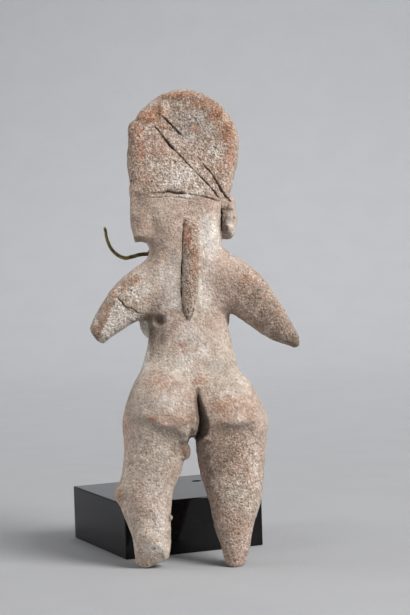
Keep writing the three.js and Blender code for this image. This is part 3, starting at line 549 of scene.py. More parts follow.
def netOver(lines, values):
    # one vertex in each cell that the surface crosses, one quad for each crossed edge
    inside = values < 0
    n = np.array(values.shape)
    tally = sum(inside[a:n[0] - 1 + a, b:n[1] - 1 + b, c:n[2] - 1 + c].astype(np.int8)
                for a in (0, 1) for b in (0, 1) for c in (0, 1))
    cells = np.argwhere((tally > 0) & (tally < 8))
    index = np.full(n, -1)
    index[tuple(cells.T)] = np.arange(len(cells))
    total = np.zeros((len(cells), 3))
    hits = np.zeros(len(cells))
    for axis in range(3):
        for a in (0, 1):
            for b in (0, 1):
                start = cells.copy()
                start[:, (axis + 1) % 3] += a
                start[:, (axis + 2) % 3] += b
                end = start.copy()
                end[:, axis] += 1
                v0, v1 = values[tuple(start.T)], values[tuple(end.T)]
                crossed = (v0 < 0) != (v1 < 0)
                t = np.where(crossed, v0 / np.where(crossed, v0 - v1, 1), 0)
                at = np.stack([lines[k][start[:, k]] for k in range(3)], 1)
                at[:, axis] += t * (lines[axis][1] - lines[axis][0])
                total += at * crossed[:, None]
                hits += crossed
    points = total / hits[:, None]
    quads = []
    for axis in range(3):
        first = np.moveaxis(inside, axis, 0)
        crossed = np.moveaxis(first[:-1] != first[1:], 0, axis)
        at = np.argwhere(crossed)
        u, v = (axis + 1) % 3, (axis + 2) % 3
        ring = []
        for a, b in ((1, 1), (0, 1), (0, 0), (1, 0)):
            corner = at.copy()
            corner[:, u] -= a
            corner[:, v] -= b
            ring.append(index[tuple(corner.T)])
        quad = np.stack(ring, 1)
        out = inside[tuple(at.T)]
        quads.append(np.where(out[:, None], quad, quad[:, ::-1]))
    return points, np.concatenate(quads)


def slopeOf(field, p, probe=0.06):
    slope = np.empty_like(p)
    for k in range(3):
        step = np.zeros(3)
        step[k] = probe
        slope[:, k] = (field(p + step) - field(p - step)) / (2 * probe)
    return slope


def settle(p, rounds=2, reach=0.35):
    for _ in range(rounds):
        slope = slopeOf(figureField, p)
        move = -figureField(p)[:, None] * slope / ((slope ** 2).sum(1)[:, None] + 1e-3)
        far = np.linalg.norm(move, axis=1)[:, None]
        p = p + move * np.minimum(1, reach / (far + 1e-9))
    return p


def meshPoints(mesh):
    flat = np.empty(len(mesh.vertices) * 3)
    mesh.vertices.foreach_get("co", flat)
    return flat.reshape(-1, 3)


def setPoints(mesh, points):
    mesh.vertices.foreach_set("co", points.ravel())
    mesh.update()


def keepInside(mesh, box):
    setPoints(mesh, np.clip(meshPoints(mesh), np.array(box[0]), np.array(box[1])))


def addObject(name, data):
    made = bpy.data.objects.new(name, data)
    bpy.context.collection.objects.link(made)
    return made


def toWorld(p):
    # from the figurine's upright frame in millimetres to the scene in metres
    x, y, z = p.T
    turned = np.stack([x, y * math.cos(lean) + z * math.sin(lean),
                       z * math.cos(lean) - y * math.sin(lean)], 1)
    return (turned + [layout["figureX"], layout["figureY"], 0] + layoutShift) * mm


def makeFigureMesh():
    points, quads = netOver(*sculptGrid(clay["cell"]))
    points = settle(points)
    mesh = bpy.data.meshes.new("clayFigure")
    mesh.from_pydata(points.tolist(), [], quads.tolist())
    near = strokeField(points)[1] < clay["strokeZone"]
    shaped = bmesh.new()
    shaped.from_mesh(mesh)
    shaped.verts.ensure_lookup_table()
    edges = [e for e in shaped.edges if near[e.verts[0].index] and near[e.verts[1].index]]
    bmesh.ops.subdivide_edges(shaped, edges=edges, cuts=clay["strokeRefine"], use_grid_fill=True)
    bmesh.ops.triangulate(shaped, faces=[f for f in shaped.faces if len(f.verts) > 4])
    shaped.to_mesh(mesh)
    shaped.free()
    points = settle(meshPoints(mesh), 3, 0.12)
    setPoints(mesh, points)
    return mesh, points


# Stains and wear on the back, with painted highlights and painted shade among them: x, z, half width, half
# height, strength
stains = {
    "ochre": [
        (-8.4, 119.3, 3.6, 2.1, 1.3), (-6.0, 120.8, 2.2, 1.5, 1.2), (-1.0, 125.0, 6.0, 1.3, 1.1),
        (-4.6, 117.2, 2.2, 1.6, 0.6),
        (6.6, 122.8, 3.8, 1.6, 1.2), (10.0, 119.6, 2.5, 2.6, 1.1), (12.6, 114.6, 1.8, 3.4, 1.2),
        (13.2, 108.6, 1.5, 3.8, 0.8), (11.4, 105.2, 1.8, 2.0, 0.4), (-11.4, 116.0, 2.0, 2.6, 1.0),
        (-10.7, 110.4, 2.0, 4.2, 0.8), (-9.0, 102.4, 2.8, 2.2, 0.4), (3.8, 116.0, 1.5, 1.4, 0.6),
        (-6.0, 111.0, 3.4, 3.0, 0.42), (1.3, 86.6, 1.1, 4.0, 1.4), (3.2, 81.6, 1.0, 3.0, 1.0),
        (2.8, 77.8, 1.0, 2.8, 0.9),
        (3.0, 88.4, 0.8, 2.0, 0.6), (16.2, 74.8, 2.2, 1.2, 0.8), (21.6, 69.6, 1.1, 2.4, 0.55),
        (24.4, 65.2, 1.0, 3.0, 0.75),
        (-21.9, 65.8, 0.9, 1.8, 0.7), (-20.7, 68.4, 0.9, 1.8, 1.0), (-23.2, 62.6, 1.0, 1.8, 0.7),
        (-18.8, 71.8, 1.2, 1.6, 0.6), (-16.0, 74.4, 1.6, 1.3, 0.75), (-13.2, 75.8, 2.4, 1.1, 0.85),
        (3.4, 48.6, 2.3, 1.4, 0.6), (-6.6, 48.8, 4.6, 2.3, 0.38), (-1.4, 56.9, 2.6, 2.0, 0.4),
        (10.6, 41.4, 5.6, 3.4, 0.57), (7.5, 37.0, 1.9, 1.5, 0.4), (-10.6, 65.0, 1.4, 1.8, 0.5),
        (15.6, 38.6, 2.4, 1.5, 0.5),
        (-4.2, 37.8, 5.0, 1.6, 0.55), (0.4, 38.4, 1.5, 1.2, 0.5), (-9.2, 38.6, 1.6, 1.1, 0.8),
        (-16.9, 34.0, 1.2, 5.0, 0.5), (-18.6, 20.0, 1.0, 4.0, 0.55), (6.6, 33.6, 1.4, 3.4, 0.35),
        (9.0, 4.0, 3.0, 3.0, 0.35), (-13.2, 3.4, 2.2, 2.4, 0.3), (12.0, 10.6, 3.0, 3.0, 0.3),
        (-0.8, 30.4, 1.6, 1.8, 0.6),
    ],
    # pale: pale crust and flakes, and painted highlights on edges the light falls on: the neck's right side,
    # the plait's right rim, the thighs' outer sides and the left foot's facet
    "pale": [
        (7.0, 86.4, 3.0, 6.2, 1.1), (6.6, 78.4, 2.6, 4.0, 0.5), (5.6, 71.5, 2.2, 6.0, 0.55),
        (6.4, 91.0, 2.6, 3.0, 0.6),
        (0.5, 69.0, 7.6, 5.4, 0.36), (-4.2, 72.6, 2.8, 5.2, 0.5), (4.7, 56.0, 2.2, 1.5, 0.7),
        (9.6, 60.0, 2.2, 7.4, 0.15),
        (14.6, 47.6, 2.6, 5.6, 0.3), (-1.0, 104.6, 6.0, 3.4, 0.5), (-12.6, 72.4, 3.0, 3.0, 0.6),
        (-10.6, 73.6, 2.4, 2.6, 0.6),
        (-3.8, 43.6, 4.4, 3.4, 0.4), (10.8, 44.8, 3.0, 1.8, 0.4), (17.4, 24.0, 1.8, 9.0, 0.25),
        (-9.2, 16.0, 4.0, 6.4, 0.3), (5.6, 99.6, 4.6, 1.6, 0.6), (-0.4, 112.0, 7.0, 4.6, 0.3),
        (13.6, 37.6, 2.6, 1.0, 0.5), (1.0, 98.0, 5.0, 1.2, 0.7),
        (-4.6, 76.0, 3.4, 5.0, 0.62), (-3.0, 70.0, 4.2, 4.0, 0.58), (1.0, 102.6, 6.4, 4.0, 0.8),
        (0.6, 60.5, 5.0, 4.0, 0.5),
        (0.0, 55.0, 5.0, 3.6, 0.5), (-1.6, 50.6, 5.0, 3.6, 0.55), (-8.5, 20.6, 3.2, 4.0, 0.42),
        (-8.4, 11.6, 2.6, 5.0, 0.65),
        (-9.0, 5.4, 3.0, 1.8, 0.8), (4.3, 72.0, 0.7, 5.5, 0.9), (16.9, 27.0, 1.5, 8.6, 0.4),
        (-16.6, 28.0, 1.1, 8.0, 0.4),
        (13.2, 89.6, 1.0, 1.6, 0.45), (-6.0, 37.0, 4.6, 0.7, 0.5), (9.6, 109.4, 2.8, 3.2, 0.55),
        (12.0, 20.0, 3.0, 4.4, 0.3), (-11.6, 76.0, 2.4, 2.2, 0.5), (11.8, 41.0, 3.2, 2.2, 0.3),
        (-9.6, 117.0, 3.4, 2.6, 0.5), (9.6, 5.0, 2.6, 2.6, 0.3),
    ],
    # dull: a dull brown film, and painted shade on the left flank below the armpit, under the buttock folds
    # and on the right thigh's inner side
    "dull": [
        (-2.3, 124.2, 5.0, 1.6, 0.6), (0.3, 121.6, 3.4, 1.8, 0.45), (6.0, 123.4, 5.0, 1.8, 0.5),
        (-12.4, 112.0, 1.7, 13.0, 0.6), (-9.4, 99.6, 3.6, 3.2, 0.55),
        (-10.4, 106.0, 2.5, 8.0, 0.35), (-10.4, 94.4, 3.6, 6.6, 0.74), (-5.8, 86.4, 3.6, 6.0, 0.66),
        (-11.3, 89.6, 2.2, 3.4, 0.4), (15.0, 73.4, 3.4, 2.8, 0.65), (18.6, 70.4, 4.0, 4.0, 0.85),
        (22.0, 66.2, 3.6, 4.2, 1.1), (25.6, 61.8, 3.2, 4.0, 1.1), (28.4, 58.8, 2.6, 2.4, 1.3),
        (-19.9, 69.6, 1.6, 2.6, 0.6), (-22.2, 65.4, 1.2, 2.8, 0.7), (-23.8, 61.6, 1.2, 1.8, 0.9),
        (-15.6, 75.0, 2.6, 1.3, 0.4), (-6.2, 61.6, 1.0, 4.6, 0.4),
        (-11.8, 52.0, 2.4, 5.0, 0.3), (-15.6, 44.0, 2.0, 6.0, 0.3), (8.6, 74.0, 2.6, 4.6, 0.3),
        (-4.6, 34.4, 6.0, 1.8, 0.6), (11.0, 34.0, 6.4, 2.2, 0.6), (-8.0, 27.6, 3.0, 4.0, 0.3),
        (-3.4, 31.2, 2.0, 3.0, 0.5), (9.4, 29.0, 4.4, 5.6, 0.72), (4.8, 27.0, 2.0, 10.0, 0.6),
        (10.4, 9.4, 3.4, 3.6, 0.4), (-7.2, 60.8, 2.6, 5.8, 0.9), (-11.3, 33.5, 2.6, 3.4, 0.4),
        (-9.6, 47.8, 2.6, 2.6, 0.4), (2.3, 45.0, 0.9, 2.6, 0.4),
    ],
    # grey: grey patches, and painted shade in the band left of the plait and beside the left flank
    "grey": [
        (-2.4, 80.5, 1.4, 5.0, 0.6), (3.0, 116.6, 6.4, 5.6, 0.9), (7.6, 110.6, 3.6, 4.4, 0.35),
        (-3.8, 74.0, 2.8, 4.6, 0.4),
        (7.6, 52.6, 3.2, 2.8, 0.7), (8.6, 70.0, 2.6, 5.0, 0.35), (11.6, 91.4, 1.4, 3.4, 0.4),
        (1.3, 81.8, 0.8, 1.8, 0.9),
        (4.0, 60.0, 4.6, 3.2, 0.35), (-6.6, 42.8, 3.0, 2.0, 0.6), (-7.4, 27.0, 3.0, 4.6, 0.4),
        (-5.4, 33.4, 4.4, 1.8, 0.4), (10.0, 30.0, 4.6, 4.6, 0.2), (-6.4, 62.0, 1.2, 4.0, 0.5),
        (-6.2, 86.0, 4.0, 4.0, 0.25), (-18.4, 66.4, 1.6, 1.4, 0.4),
    ],
    # soil: soil in hollows, and painted shade under the tresses and the arms, in the armpits, beside the
    # left flank, in the cleft and between the thighs
    "soil": [
        (-8.3, 65.6, 2.8, 1.0, 0.85), (-24.0, 60.8, 1.3, 0.9, 0.6), (-21.0, 60.4, 1.8, 0.5, 0.5),
        (-17.0, 62.8, 2.4, 0.5, 0.6), (-13.2, 64.7, 2.2, 0.5, 0.6), (-22.3, 63.6, 0.5, 1.5, 0.6),
        (-20.8, 66.6, 0.4, 1.0, 0.5),
        (-22.2, 61.2, 0.8, 0.8, 0.6), (11.8, 87.2, 1.3, 0.9, 0.6), (11.2, 89.6, 0.5, 1.4, 0.5),
        (9.8, 67.3, 1.4, 0.8, 0.6),
        (28.2, 58.0, 2.2, 1.4, 0.5), (18.8, 69.8, 1.6, 1.2, 0.35), (-12.0, 86.9, 2.2, 0.5, 0.8),
        (-1.6, 30.0, 1.4, 1.6, 0.35),
        (-7.4, 24.6, 0.7, 0.9, 0.5), (1.0, 37.8, 0.8, 2.6, 0.3), (-8.9, 61.0, 0.8, 3.8, 0.6),
    ],
}


sandShare = {                 # how sandy each part is, and how much of it the pale and grey paint takes away
    "body": 0.46, "head": 0.66, "arms": 0.55, "legs": 0.5, "plait": 0.66, "pale": 0.15, "grey": 0.1,
}


def paintMasks(mesh, points):
    x, y, z = points.T
    masks = {}
    back = smoothStep(2.6, -0.6, y)
    for name, spots in stains.items():
        amount = np.zeros(len(points))
        for cx, cz, rx, rz, strength in spots:
            spot = strength * np.exp(-(((x - cx) / rx) ** 2 + ((z - cz) / rz) ** 2) ** 1.3)
            amount = np.maximum(amount, spot)
            across, rise = (x + cx - 1.4) / (rx * 1.3), (z - cz + 2) / rz
            mirrored = 0.6 * strength * np.exp(-(across ** 2 + rise ** 2) ** 1.3)
            masks[name + "Front"] = np.maximum(masks.get(name + "Front", 0), mirrored)
        masks[name] = amount * back + masks.pop(name + "Front") * (1 - back)
    midX, halfX = plait["at"](z)
    onPlait = smoothStep(halfX + 0.3, halfX - 0.1, np.abs(x - midX))
    onPlait = onPlait * smoothStep(64.2, 65.0, z) * smoothStep(92.2, 91.0, z)
    masks["dull"] = np.maximum(masks["dull"], (0.52 - 0.24 * smoothStep(80, 86, z)) * onPlait * back)
    masks["pale"] = np.maximum(masks["pale"], 0.85 * flakeMask(points)) * (1 - 0.9 * onPlait * back)
    # painted light: the left flank below the arm, where the light falls on it, is painted pale, and the
    # painted crease shade is held back there
    litFlank = smoothStep(-9.4, -10.2, x) * (x > -12.5) * smoothStep(46, 56, z) * smoothStep(66, 64.5, z)
    normal = slopeOf(figureShape, points)
    normal /= np.linalg.norm(normal, axis=1)[:, None] + 1e-9
    openNear = np.clip(figureShape(points + normal * 0.9) / 0.9, 0, 1)
    openFar = np.clip(figureShape(points + normal * 4.0) / 4.0, 0, 1)
    masks["pale"] = np.maximum(masks["pale"], 0.9 * litFlank)
    # painted shade: clay hemmed in by nearby surfaces, in creases, folds and hollows, is darkened with the
    # soil colour
    dirt = np.clip(1.15 - openNear, 0, 1) * 0.55 + np.clip(1 - openFar, 0, 1) ** 1.3 * 0.5
    masks["soil"] += dirt * (1 - 0.8 * litFlank)
    # painted shadow: the cleft between the buttocks is darkened with the soil colour and the groove colour
    inCleft = (z > 31) & (z < 46.5) & (y < 0)
    masks["soil"][inCleft] += 0.7 * smoothStep(0.9, 0.1, cleftShape(points[inCleft]))
    # the incised lines are darkened by their depth: dirt in them, and painted shade
    masks["groove"] = np.clip(strokeField(points)[0] / 0.5, 0, 1)
    masks["groove"][inCleft] = np.maximum(masks["groove"][inCleft],
                                          0.9 * smoothStep(0.7, 0.0, cleftShape(points[inCleft])))
    limbs = smoothStep(10, 15, np.abs(x - 1)) * smoothStep(54, 58, z) * smoothStep(80, 77, z)
    legs = sandShare["legs"] * smoothStep(40, 30, z) * (0.35 + 0.65 * (x > 1.5))
    sandy = sandShare["body"] + sandShare["head"] * smoothStep(96, 100,
        z) + sandShare["arms"] * limbs + legs
    sandy = sandy + sandShare["plait"] * onPlait
    sandy = sandy - sandShare["pale"] * masks["pale"] - sandShare["grey"] * masks["grey"]
    masks["sandy"] = np.clip(sandy, 0.2, 1.3)
    for name, values in masks.items():
        layer = mesh.attributes.new(name, "FLOAT", "POINT")
        layer.data.foreach_set("value", np.clip(values, 0, 2).astype(np.float32))


# Node helpers
def put(tree, kind, settings=None, **sockets):
    # a keyword names an input, or gives its number as i0, i1 and so on
    made = tree.nodes.new(kind)
    for name, value in (settings or {}).items():
        setattr(made, name, value)
    for name, value in sockets.items():
        numbered = name[0] == "i" and name[1:].isdigit()
        target = made.inputs[int(name[1:]) if numbered else spaced(name)]
        if isinstance(value, bpy.types.NodeSocket):
            tree.links.new(value, target)
        else:
            target.default_value = value
    return made


def spaced(name):
    # "fromMin" -> "From Min"
    words = "".join(" " + c if c.isupper() else c for c in name).split()
    return " ".join(w[0].upper() + w[1:] for w in words)


def newGroup(name, kind, inputs, outputs):
    tree = bpy.data.node_groups.new(name, kind)
    for label, kindOfSocket, value in inputs:
        made = tree.interface.new_socket(label, in_out="INPUT", socket_type="NodeSocket" + kindOfSocket)
        if value is not None:
            made.default_value = value
    for label, kindOfSocket in outputs:
        tree.interface.new_socket(label, in_out="OUTPUT", socket_type="NodeSocket" + kindOfSocket)
    return tree, tree.nodes.new("NodeGroupInput").outputs, tree.nodes.new("NodeGroupOutput").inputs


def math2(tree, operation, a, b=0.0, clamp=False):
    return put(tree, "ShaderNodeMath", {"operation": operation, "use_clamp": clamp}, i0=a, i1=b).outputs[0]


def times(tree, a, b):
    return math2(tree, "MULTIPLY", a, b)


def plus(tree, a, b):
    return math2(tree, "ADD", a, b)


def minus(tree, a, b, clamp=False):
    return math2(tree, "SUBTRACT", a, b, clamp)


def over(tree, a, b):
    return math2(tree, "DIVIDE", a, b)


def scaled(tree, vector, amount):
    return put(tree, "ShaderNodeVectorMath", {"operation": "SCALE"}, i0=vector, scale=amount).outputs[0]


def ranged(tree, value, **ends):
    return put(tree, "ShaderNodeMapRange", {"interpolation_type": "SMOOTHSTEP"}, value=value,
               **ends).outputs[0]


def setBump(tree, shader, height):
    # the height is in millimetres
    bump = put(tree, "ShaderNodeBump", height=height, strength=1.0, distance=mm)
    tree.links.new(bump.outputs[0], shader.inputs["Normal"])


def endTree(tree, geometry, given, result):
    smooth = put(tree, "GeometryNodeSetShadeSmooth", geometry=geometry.outputs[0])
    real = put(tree, "GeometryNodeRealizeInstances", geometry=smooth.outputs[0])
    final = put(tree, "GeometryNodeSetMaterial", geometry=real.outputs[0], material=given["Material"])
    tree.links.new(final.outputs[0], result[0])
    return tree


# Geometry Nodes: the sandy, pitted, hand-shaped surface of fired clay
def buildClayRelief():
    tree, given, result = newGroup("clayRelief", "GeometryNodeTree", [
        ("Geometry", "Geometry", None), ("Lump Height", "Float", 0.0002),
        ("Lump Size", "Float", 0.006), ("Dent Height", "Float", 0.0002),
        ("Dent Size", "Float", 0.002), ("Grit Height", "Float", 0.0001),
        ("Grit Size", "Float", 0.0008), ("Pit Depth", "Float", 0.0002),
        ("Pit Size", "Float", 0.002), ("Seed", "Float", 0.0),
        ("Material", "Material", None)], [("Geometry", "Geometry")])
    place = put(tree, "GeometryNodeInputPosition").outputs[0]
    normal = put(tree, "GeometryNodeInputNormal").outputs[0]
    sandy = put(tree, "GeometryNodeInputNamedAttribute", {"data_type": "FLOAT"}, i0="sandy").outputs[0]
    groove = put(tree, "GeometryNodeInputNamedAttribute", {"data_type": "FLOAT"}, i0="groove").outputs[0]

    def wave(size, height, detail, shift):
        scale = over(tree, 1.0, given[size])
        noise = put(tree, "ShaderNodeTexNoise", {"noise_dimensions": "4D"}, vector=place, scale=scale,
                    detail=detail,
                    w=plus(tree, given["Seed"], shift))
        centred = minus(tree, noise.outputs[0], 0.5)
        return times(tree, centred, given[height])
    lumps = wave("Lump Size", "Lump Height", 1.0, 0.0)
    dents = wave("Dent Size", "Dent Height", 3.0, 2.0)
    lumps = plus(tree, lumps, times(tree, dents, plus(tree, sandy, 0.25)))
    grit = times(tree, wave("Grit Size", "Grit Height", 2.0, 5.0), sandy)
    pitScale = over(tree, 1.0, given["Pit Size"])
    cells = put(tree, "ShaderNodeTexVoronoi", {"voronoi_dimensions": "4D"}, vector=place, scale=pitScale,
                w=given["Seed"], randomness=1.0)
    width = put(tree, "ShaderNodeSeparateXYZ", i0=cells.outputs["Color"])
    radius = times(tree, math2(tree, "POWER", width.outputs[0], 2.5), 0.3)
    bowl = minus(tree, 1.0, over(tree, cells.outputs["Distance"], plus(tree, radius, 0.02)), clamp=True)
    pits = times(tree, times(tree, bowl, given["Pit Depth"]), -1.0)
    pits = times(tree, pits, sandy)
    height = plus(tree, lumps, plus(tree, grit, pits))
    calm = minus(tree, 1.0, times(tree, groove, 0.7))
    height = times(tree, height, calm)
    moved = put(tree, "GeometryNodeSetPosition", geometry=given["Geometry"],
                offset=scaled(tree, normal, height))
    return endTree(tree, moved, given, result)


# Geometry Nodes: loose grains of temper and earth held in the surface
def buildGrainScatter():
    tree, given, result = newGroup("grainScatter", "GeometryNodeTree", [
        ("Geometry", "Geometry", None), ("Grain Size", "Float", 0.0004),
        ("Per Square Metre", "Float", 300000.0),
        ("Seed", "Int", 3), ("Material", "Material", None)], [("Geometry", "Geometry")])
    sandy = put(tree, "GeometryNodeInputNamedAttribute", {"data_type": "FLOAT"}, i0="sandy").outputs[0]
    density = times(tree, math2(tree, "POWER", sandy, 2.0), given["Per Square Metre"])
    points = put(tree, "GeometryNodeDistributePointsOnFaces", mesh=given["Geometry"], density=density,
                 seed=given["Seed"])
    sink = scaled(tree, points.outputs["Normal"], times(tree, given["Grain Size"], -0.18))
    sunk = put(tree, "GeometryNodeSetPosition", geometry=points.outputs["Points"], offset=sink)
    grain = put(tree, "GeometryNodeMeshIcoSphere", radius=given["Grain Size"], subdivisions=1)
    bent = put(tree, "ShaderNodeTexNoise", vector=put(tree, "GeometryNodeInputPosition").outputs[0],
               scale=1800.0)
    shove = put(tree, "ShaderNodeVectorMath", {"operation": "SUBTRACT"}, i0=bent.outputs["Color"],
                i1=(0.5, 0.5, 0.5))
    shoved = scaled(tree, shove.outputs[0], times(tree, given["Grain Size"], 1.6))
    rough = put(tree, "GeometryNodeSetPosition", geometry=grain.outputs["Mesh"], offset=shoved)
    turn = put(tree, "FunctionNodeRandomValue", {"data_type": "FLOAT_VECTOR"}, i0=(0, 0, 0),
               i1=(6.28, 6.28, 6.28),
               seed=given["Seed"])
    size = put(tree, "FunctionNodeRandomValue", {"data_type": "FLOAT"}, i2=0.25, i3=1.0, seed=given["Seed"])
    placed = put(tree, "GeometryNodeInstanceOnPoints", points=sunk.outputs[0], instance=rough.outputs[0],
                 rotation=turn.outputs[0], scale=math2(tree, "POWER", size.outputs[1], 1.8))
    return endTree(tree, placed, given, result)


# Geometry Nodes: a wire swept along a path, thinner toward its end
def buildBentWire():
    tree, given, result = newGroup("bentWire", "GeometryNodeTree", [
        ("Geometry", "Geometry", None), ("Radius", "Float", 0.0006),
        ("End Radius", "Float", 0.0005), ("Sides", "Int", 20),
        ("Unevenness", "Float", 0.00002), ("Seed", "Float", 0.0),
        ("Material", "Material", None)], [("Geometry", "Geometry")])
    path = put(tree, "GeometryNodeMeshToCurve", mesh=given["Geometry"])
    share = put(tree, "GeometryNodeSplineParameter").outputs["Factor"]
    taper = ranged(tree, share, fromMin=0.3, fromMax=1.0,
                toMin=given["Radius"], toMax=given["End Radius"])
    tip = math2(tree, "SQRT", minus(tree, 1.0, math2(tree, "POWER", share, 90.0), clamp=True))
    radius = times(tree, taper, math2(tree, "MAXIMUM", tip, 0.15))
    thick = put(tree, "GeometryNodeSetCurveRadius", curve=path.outputs[0], radius=radius)
    ring = put(tree, "GeometryNodeCurvePrimitiveCircle", resolution=given["Sides"], radius=1.0)
    swept = put(tree, "GeometryNodeCurveToMesh", curve=thick.outputs[0], profileCurve=ring.outputs[0])
    swept.inputs["Fill Caps"].default_value = True
    scaleSocket = swept.inputs.get("Scale")
    if scaleSocket:
        tree.links.new(radius, scaleSocket)
    place = put(tree, "GeometryNodeInputPosition").outputs[0]
    noise = put(tree, "ShaderNodeTexNoise", {"noise_dimensions": "4D"}, vector=place, scale=420.0,
                w=given["Seed"])
    away = times(tree, minus(tree, noise.outputs[0], 0.5), given["Unevenness"])
    offset = scaled(tree, put(tree, "GeometryNodeInputNormal").outputs[0], times(tree, away, 2.0))
    moved = put(tree, "GeometryNodeSetPosition", geometry=swept.outputs[0], offset=offset)
    return endTree(tree, moved, given, result)


def runNodes(name, mesh, tree, **values):
    # runs a node tree on a mesh and returns the plain result as a new object
    source = addObject(name + "Source", mesh)
    change = source.modifiers.new("nodes", "NODES")
    change.node_group = tree
    sockets = {item.name: item.identifier for item in tree.interface.items_tree if item.in_out == "INPUT"}
    for label, value in values.items():
        change[sockets[spaced(label)]] = value
    source.data.update()
    bpy.context.view_layer.update()
    evaluated = source.evaluated_get(bpy.context.evaluated_depsgraph_get())
    plain = bpy.data.meshes.new_from_object(evaluated)
    plain.name = name
    source.modifiers.clear()
    bpy.data.objects.remove(source)
    return addObject(name, plain)


# Shader groups shared by the materials
def buildMottle():
    tree, given, result = newGroup("mottle", "ShaderNodeTree", [
        ("Vector", "Vector", None), ("Scale", "Float", 1.0), ("Detail", "Float", 3.0),
        ("Low", "Float", 0.35), ("High", "Float", 0.65)],
        [("Mask", "Float"), ("Noise", "Float")])
    noise = put(tree, "ShaderNodeTexNoise", vector=given["Vector"], scale=given["Scale"],
                detail=given["Detail"])
    mask = ranged(tree, noise.outputs[0], fromMin=given["Low"], fromMax=given["High"])
    tree.links.new(mask, result["Mask"])
    tree.links.new(noise.outputs[0], result["Noise"])
    return tree


def buildStain():
    # a painted amount broken up by noise into a ragged stain
    tree, given, result = newGroup("raggedStain", "ShaderNodeTree", [
        ("Vector", "Vector", None), ("Amount", "Float", 0.0), ("Scale", "Float", 1.0),
        ("Ragged", "Float", 0.8), ("Edge", "Float", 0.35)], [("Mask", "Float")])
    noise = put(tree, "ShaderNodeTexNoise", vector=given["Vector"], scale=given["Scale"], detail=6.0,
                roughness=0.68)
    shift = times(tree, minus(tree, noise.outputs[0], 0.5), given["Ragged"])
    uneven = plus(tree, given["Amount"], times(tree, shift, 2.0))
    mask = ranged(tree, uneven, fromMin=minus(tree, 0.5, given["Edge"]),
                  fromMax=plus(tree, 0.5, given["Edge"]))
    tree.links.new(mask, result["Mask"])
    return tree


def buildSpecks():
    tree, given, result = newGroup("specks", "ShaderNodeTree", [
        ("Vector", "Vector", None), ("Scale", "Float", 1.0), ("Size", "Float", 0.25),
        ("Share", "Float", 0.3)], [("Mask", "Float")])
    cells = put(tree, "ShaderNodeTexVoronoi", vector=given["Vector"], scale=given["Scale"], randomness=1.0)
    parts = put(tree, "ShaderNodeSeparateColor", i0=cells.outputs["Color"])
    keep = math2(tree, "LESS_THAN", parts.outputs[0], given["Share"])
    size = times(tree, given["Size"], plus(tree, times(tree, parts.outputs[1], 0.8), 0.2))
    dot = ranged(tree, cells.outputs["Distance"], fromMin=size, fromMax=times(tree, size, 0.45))
    tree.links.new(times(tree, dot, keep), result["Mask"])
    return tree


def buildSandGrains():
    # packed grains, each with its own tone, a little bent out of round
    tree, given, result = newGroup("sandGrains", "ShaderNodeTree", [
        ("Vector", "Vector", None), ("Scale", "Float", 1.0), ("Bend", "Float", 0.2)],
        [("Tone", "Float"), ("Height", "Float")])
    noise = put(tree, "ShaderNodeTexNoise", vector=given["Vector"], scale=given["Scale"], detail=2.0)
    away = scaled(tree, noise.outputs["Color"], given["Bend"])
    bent = put(tree, "ShaderNodeVectorMath", {"operation": "ADD"}, i0=given["Vector"], i1=away)
    cells = put(tree, "ShaderNodeTexVoronoi", vector=bent.outputs[0], scale=given["Scale"], randomness=1.0)
    parts = put(tree, "ShaderNodeSeparateColor", i0=cells.outputs["Color"])
    tree.links.new(parts.outputs[0], result["Tone"])
    near = times(tree, cells.outputs["Distance"], cells.outputs["Distance"])
    tree.links.new(minus(tree, 1.0, near), result["Height"])
    return tree


mottle, raggedStain, specks, sandGrains = buildMottle(), buildStain(), buildSpecks(), buildSandGrains()


def newMaterial(name):
    material = bpy.data.materials.new(name)
    material.use_nodes = True
    tree = material.node_tree
    shader = tree.nodes["Principled BSDF"]
    coords = put(tree, "ShaderNodeTexCoord").outputs["Object"]
    # the place on the object in millimetres
    return material, tree, shader, scaled(tree, coords, 1000.0)


def useGroup(tree, group, at, **values):
    made = tree.nodes.new("ShaderNodeGroup")
    made.node_tree = group
    tree.links.new(at, made.inputs["Vector"])
    for label, value in values.items():
        target = made.inputs[spaced(label)]
        if isinstance(value, bpy.types.NodeSocket):
            tree.links.new(value, target)
        else:
            target.default_value = value
    return made.outputs


def mixColour(tree, amount, first, second, kind="MIX"):
    made = tree.nodes.new("ShaderNodeMix")
    made.data_type = "RGBA"
    made.blend_type = kind
    for target, value in ((made.inputs[0], amount), (made.inputs[6], first), (made.inputs[7], second)):
        if isinstance(value, bpy.types.NodeSocket):
            tree.links.new(value, target)
        else:
            target.default_value = value if isinstance(value, float) else (*value, 1.0)
    return made.outputs[2]


def painted(tree, name):
    return put(tree, "ShaderNodeAttribute", {"attribute_name": name}).outputs["Fac"]


clayFinish = {
    "buff": (0.565, 0.482, 0.405),
    "pink": (0.55, 0.415, 0.345),
    "shade": (0.38, 0.31, 0.256),
    "ochre": (0.475, 0.255, 0.165),
    "pale": (0.82, 0.77, 0.72),
    "dull": (0.285, 0.218, 0.173),
    "grey": (0.385, 0.352, 0.326),
    "groove": (0.12, 0.07, 0.04),
    "soil": (0.13, 0.088, 0.052),
    "speck": (0.115, 0.07, 0.043),
    "grain": (0.76, 0.69, 0.60),
    "sheen": (1.0, 0.95, 0.86, 1.0),
}


clayStains = {                # scale, raggedness, softness of the edge, strength
    "grey": (0.6, 0.8, 0.45, 0.8),
    "pale": (0.7, 1.0, 0.5, 0.8),
    "ochre": (1.1, 1.3, 0.5, 0.9),
    "dull": (0.55, 0.5, 0.5, 0.85),
    "soil": (1.3, 0.7, 0.4, 0.6),
}
clayTones = {                 # darkest and palest tone of each size of grain
    "crumb": ((0.75, 0.71, 0.67), (1.14, 1.155, 1.17)),
    "coarse": ((0.84, 0.78, 0.72), (1.16, 1.19, 1.22)),
    "fine": ((0.67, 0.59, 0.52), (1.36, 1.41, 1.47)),
}
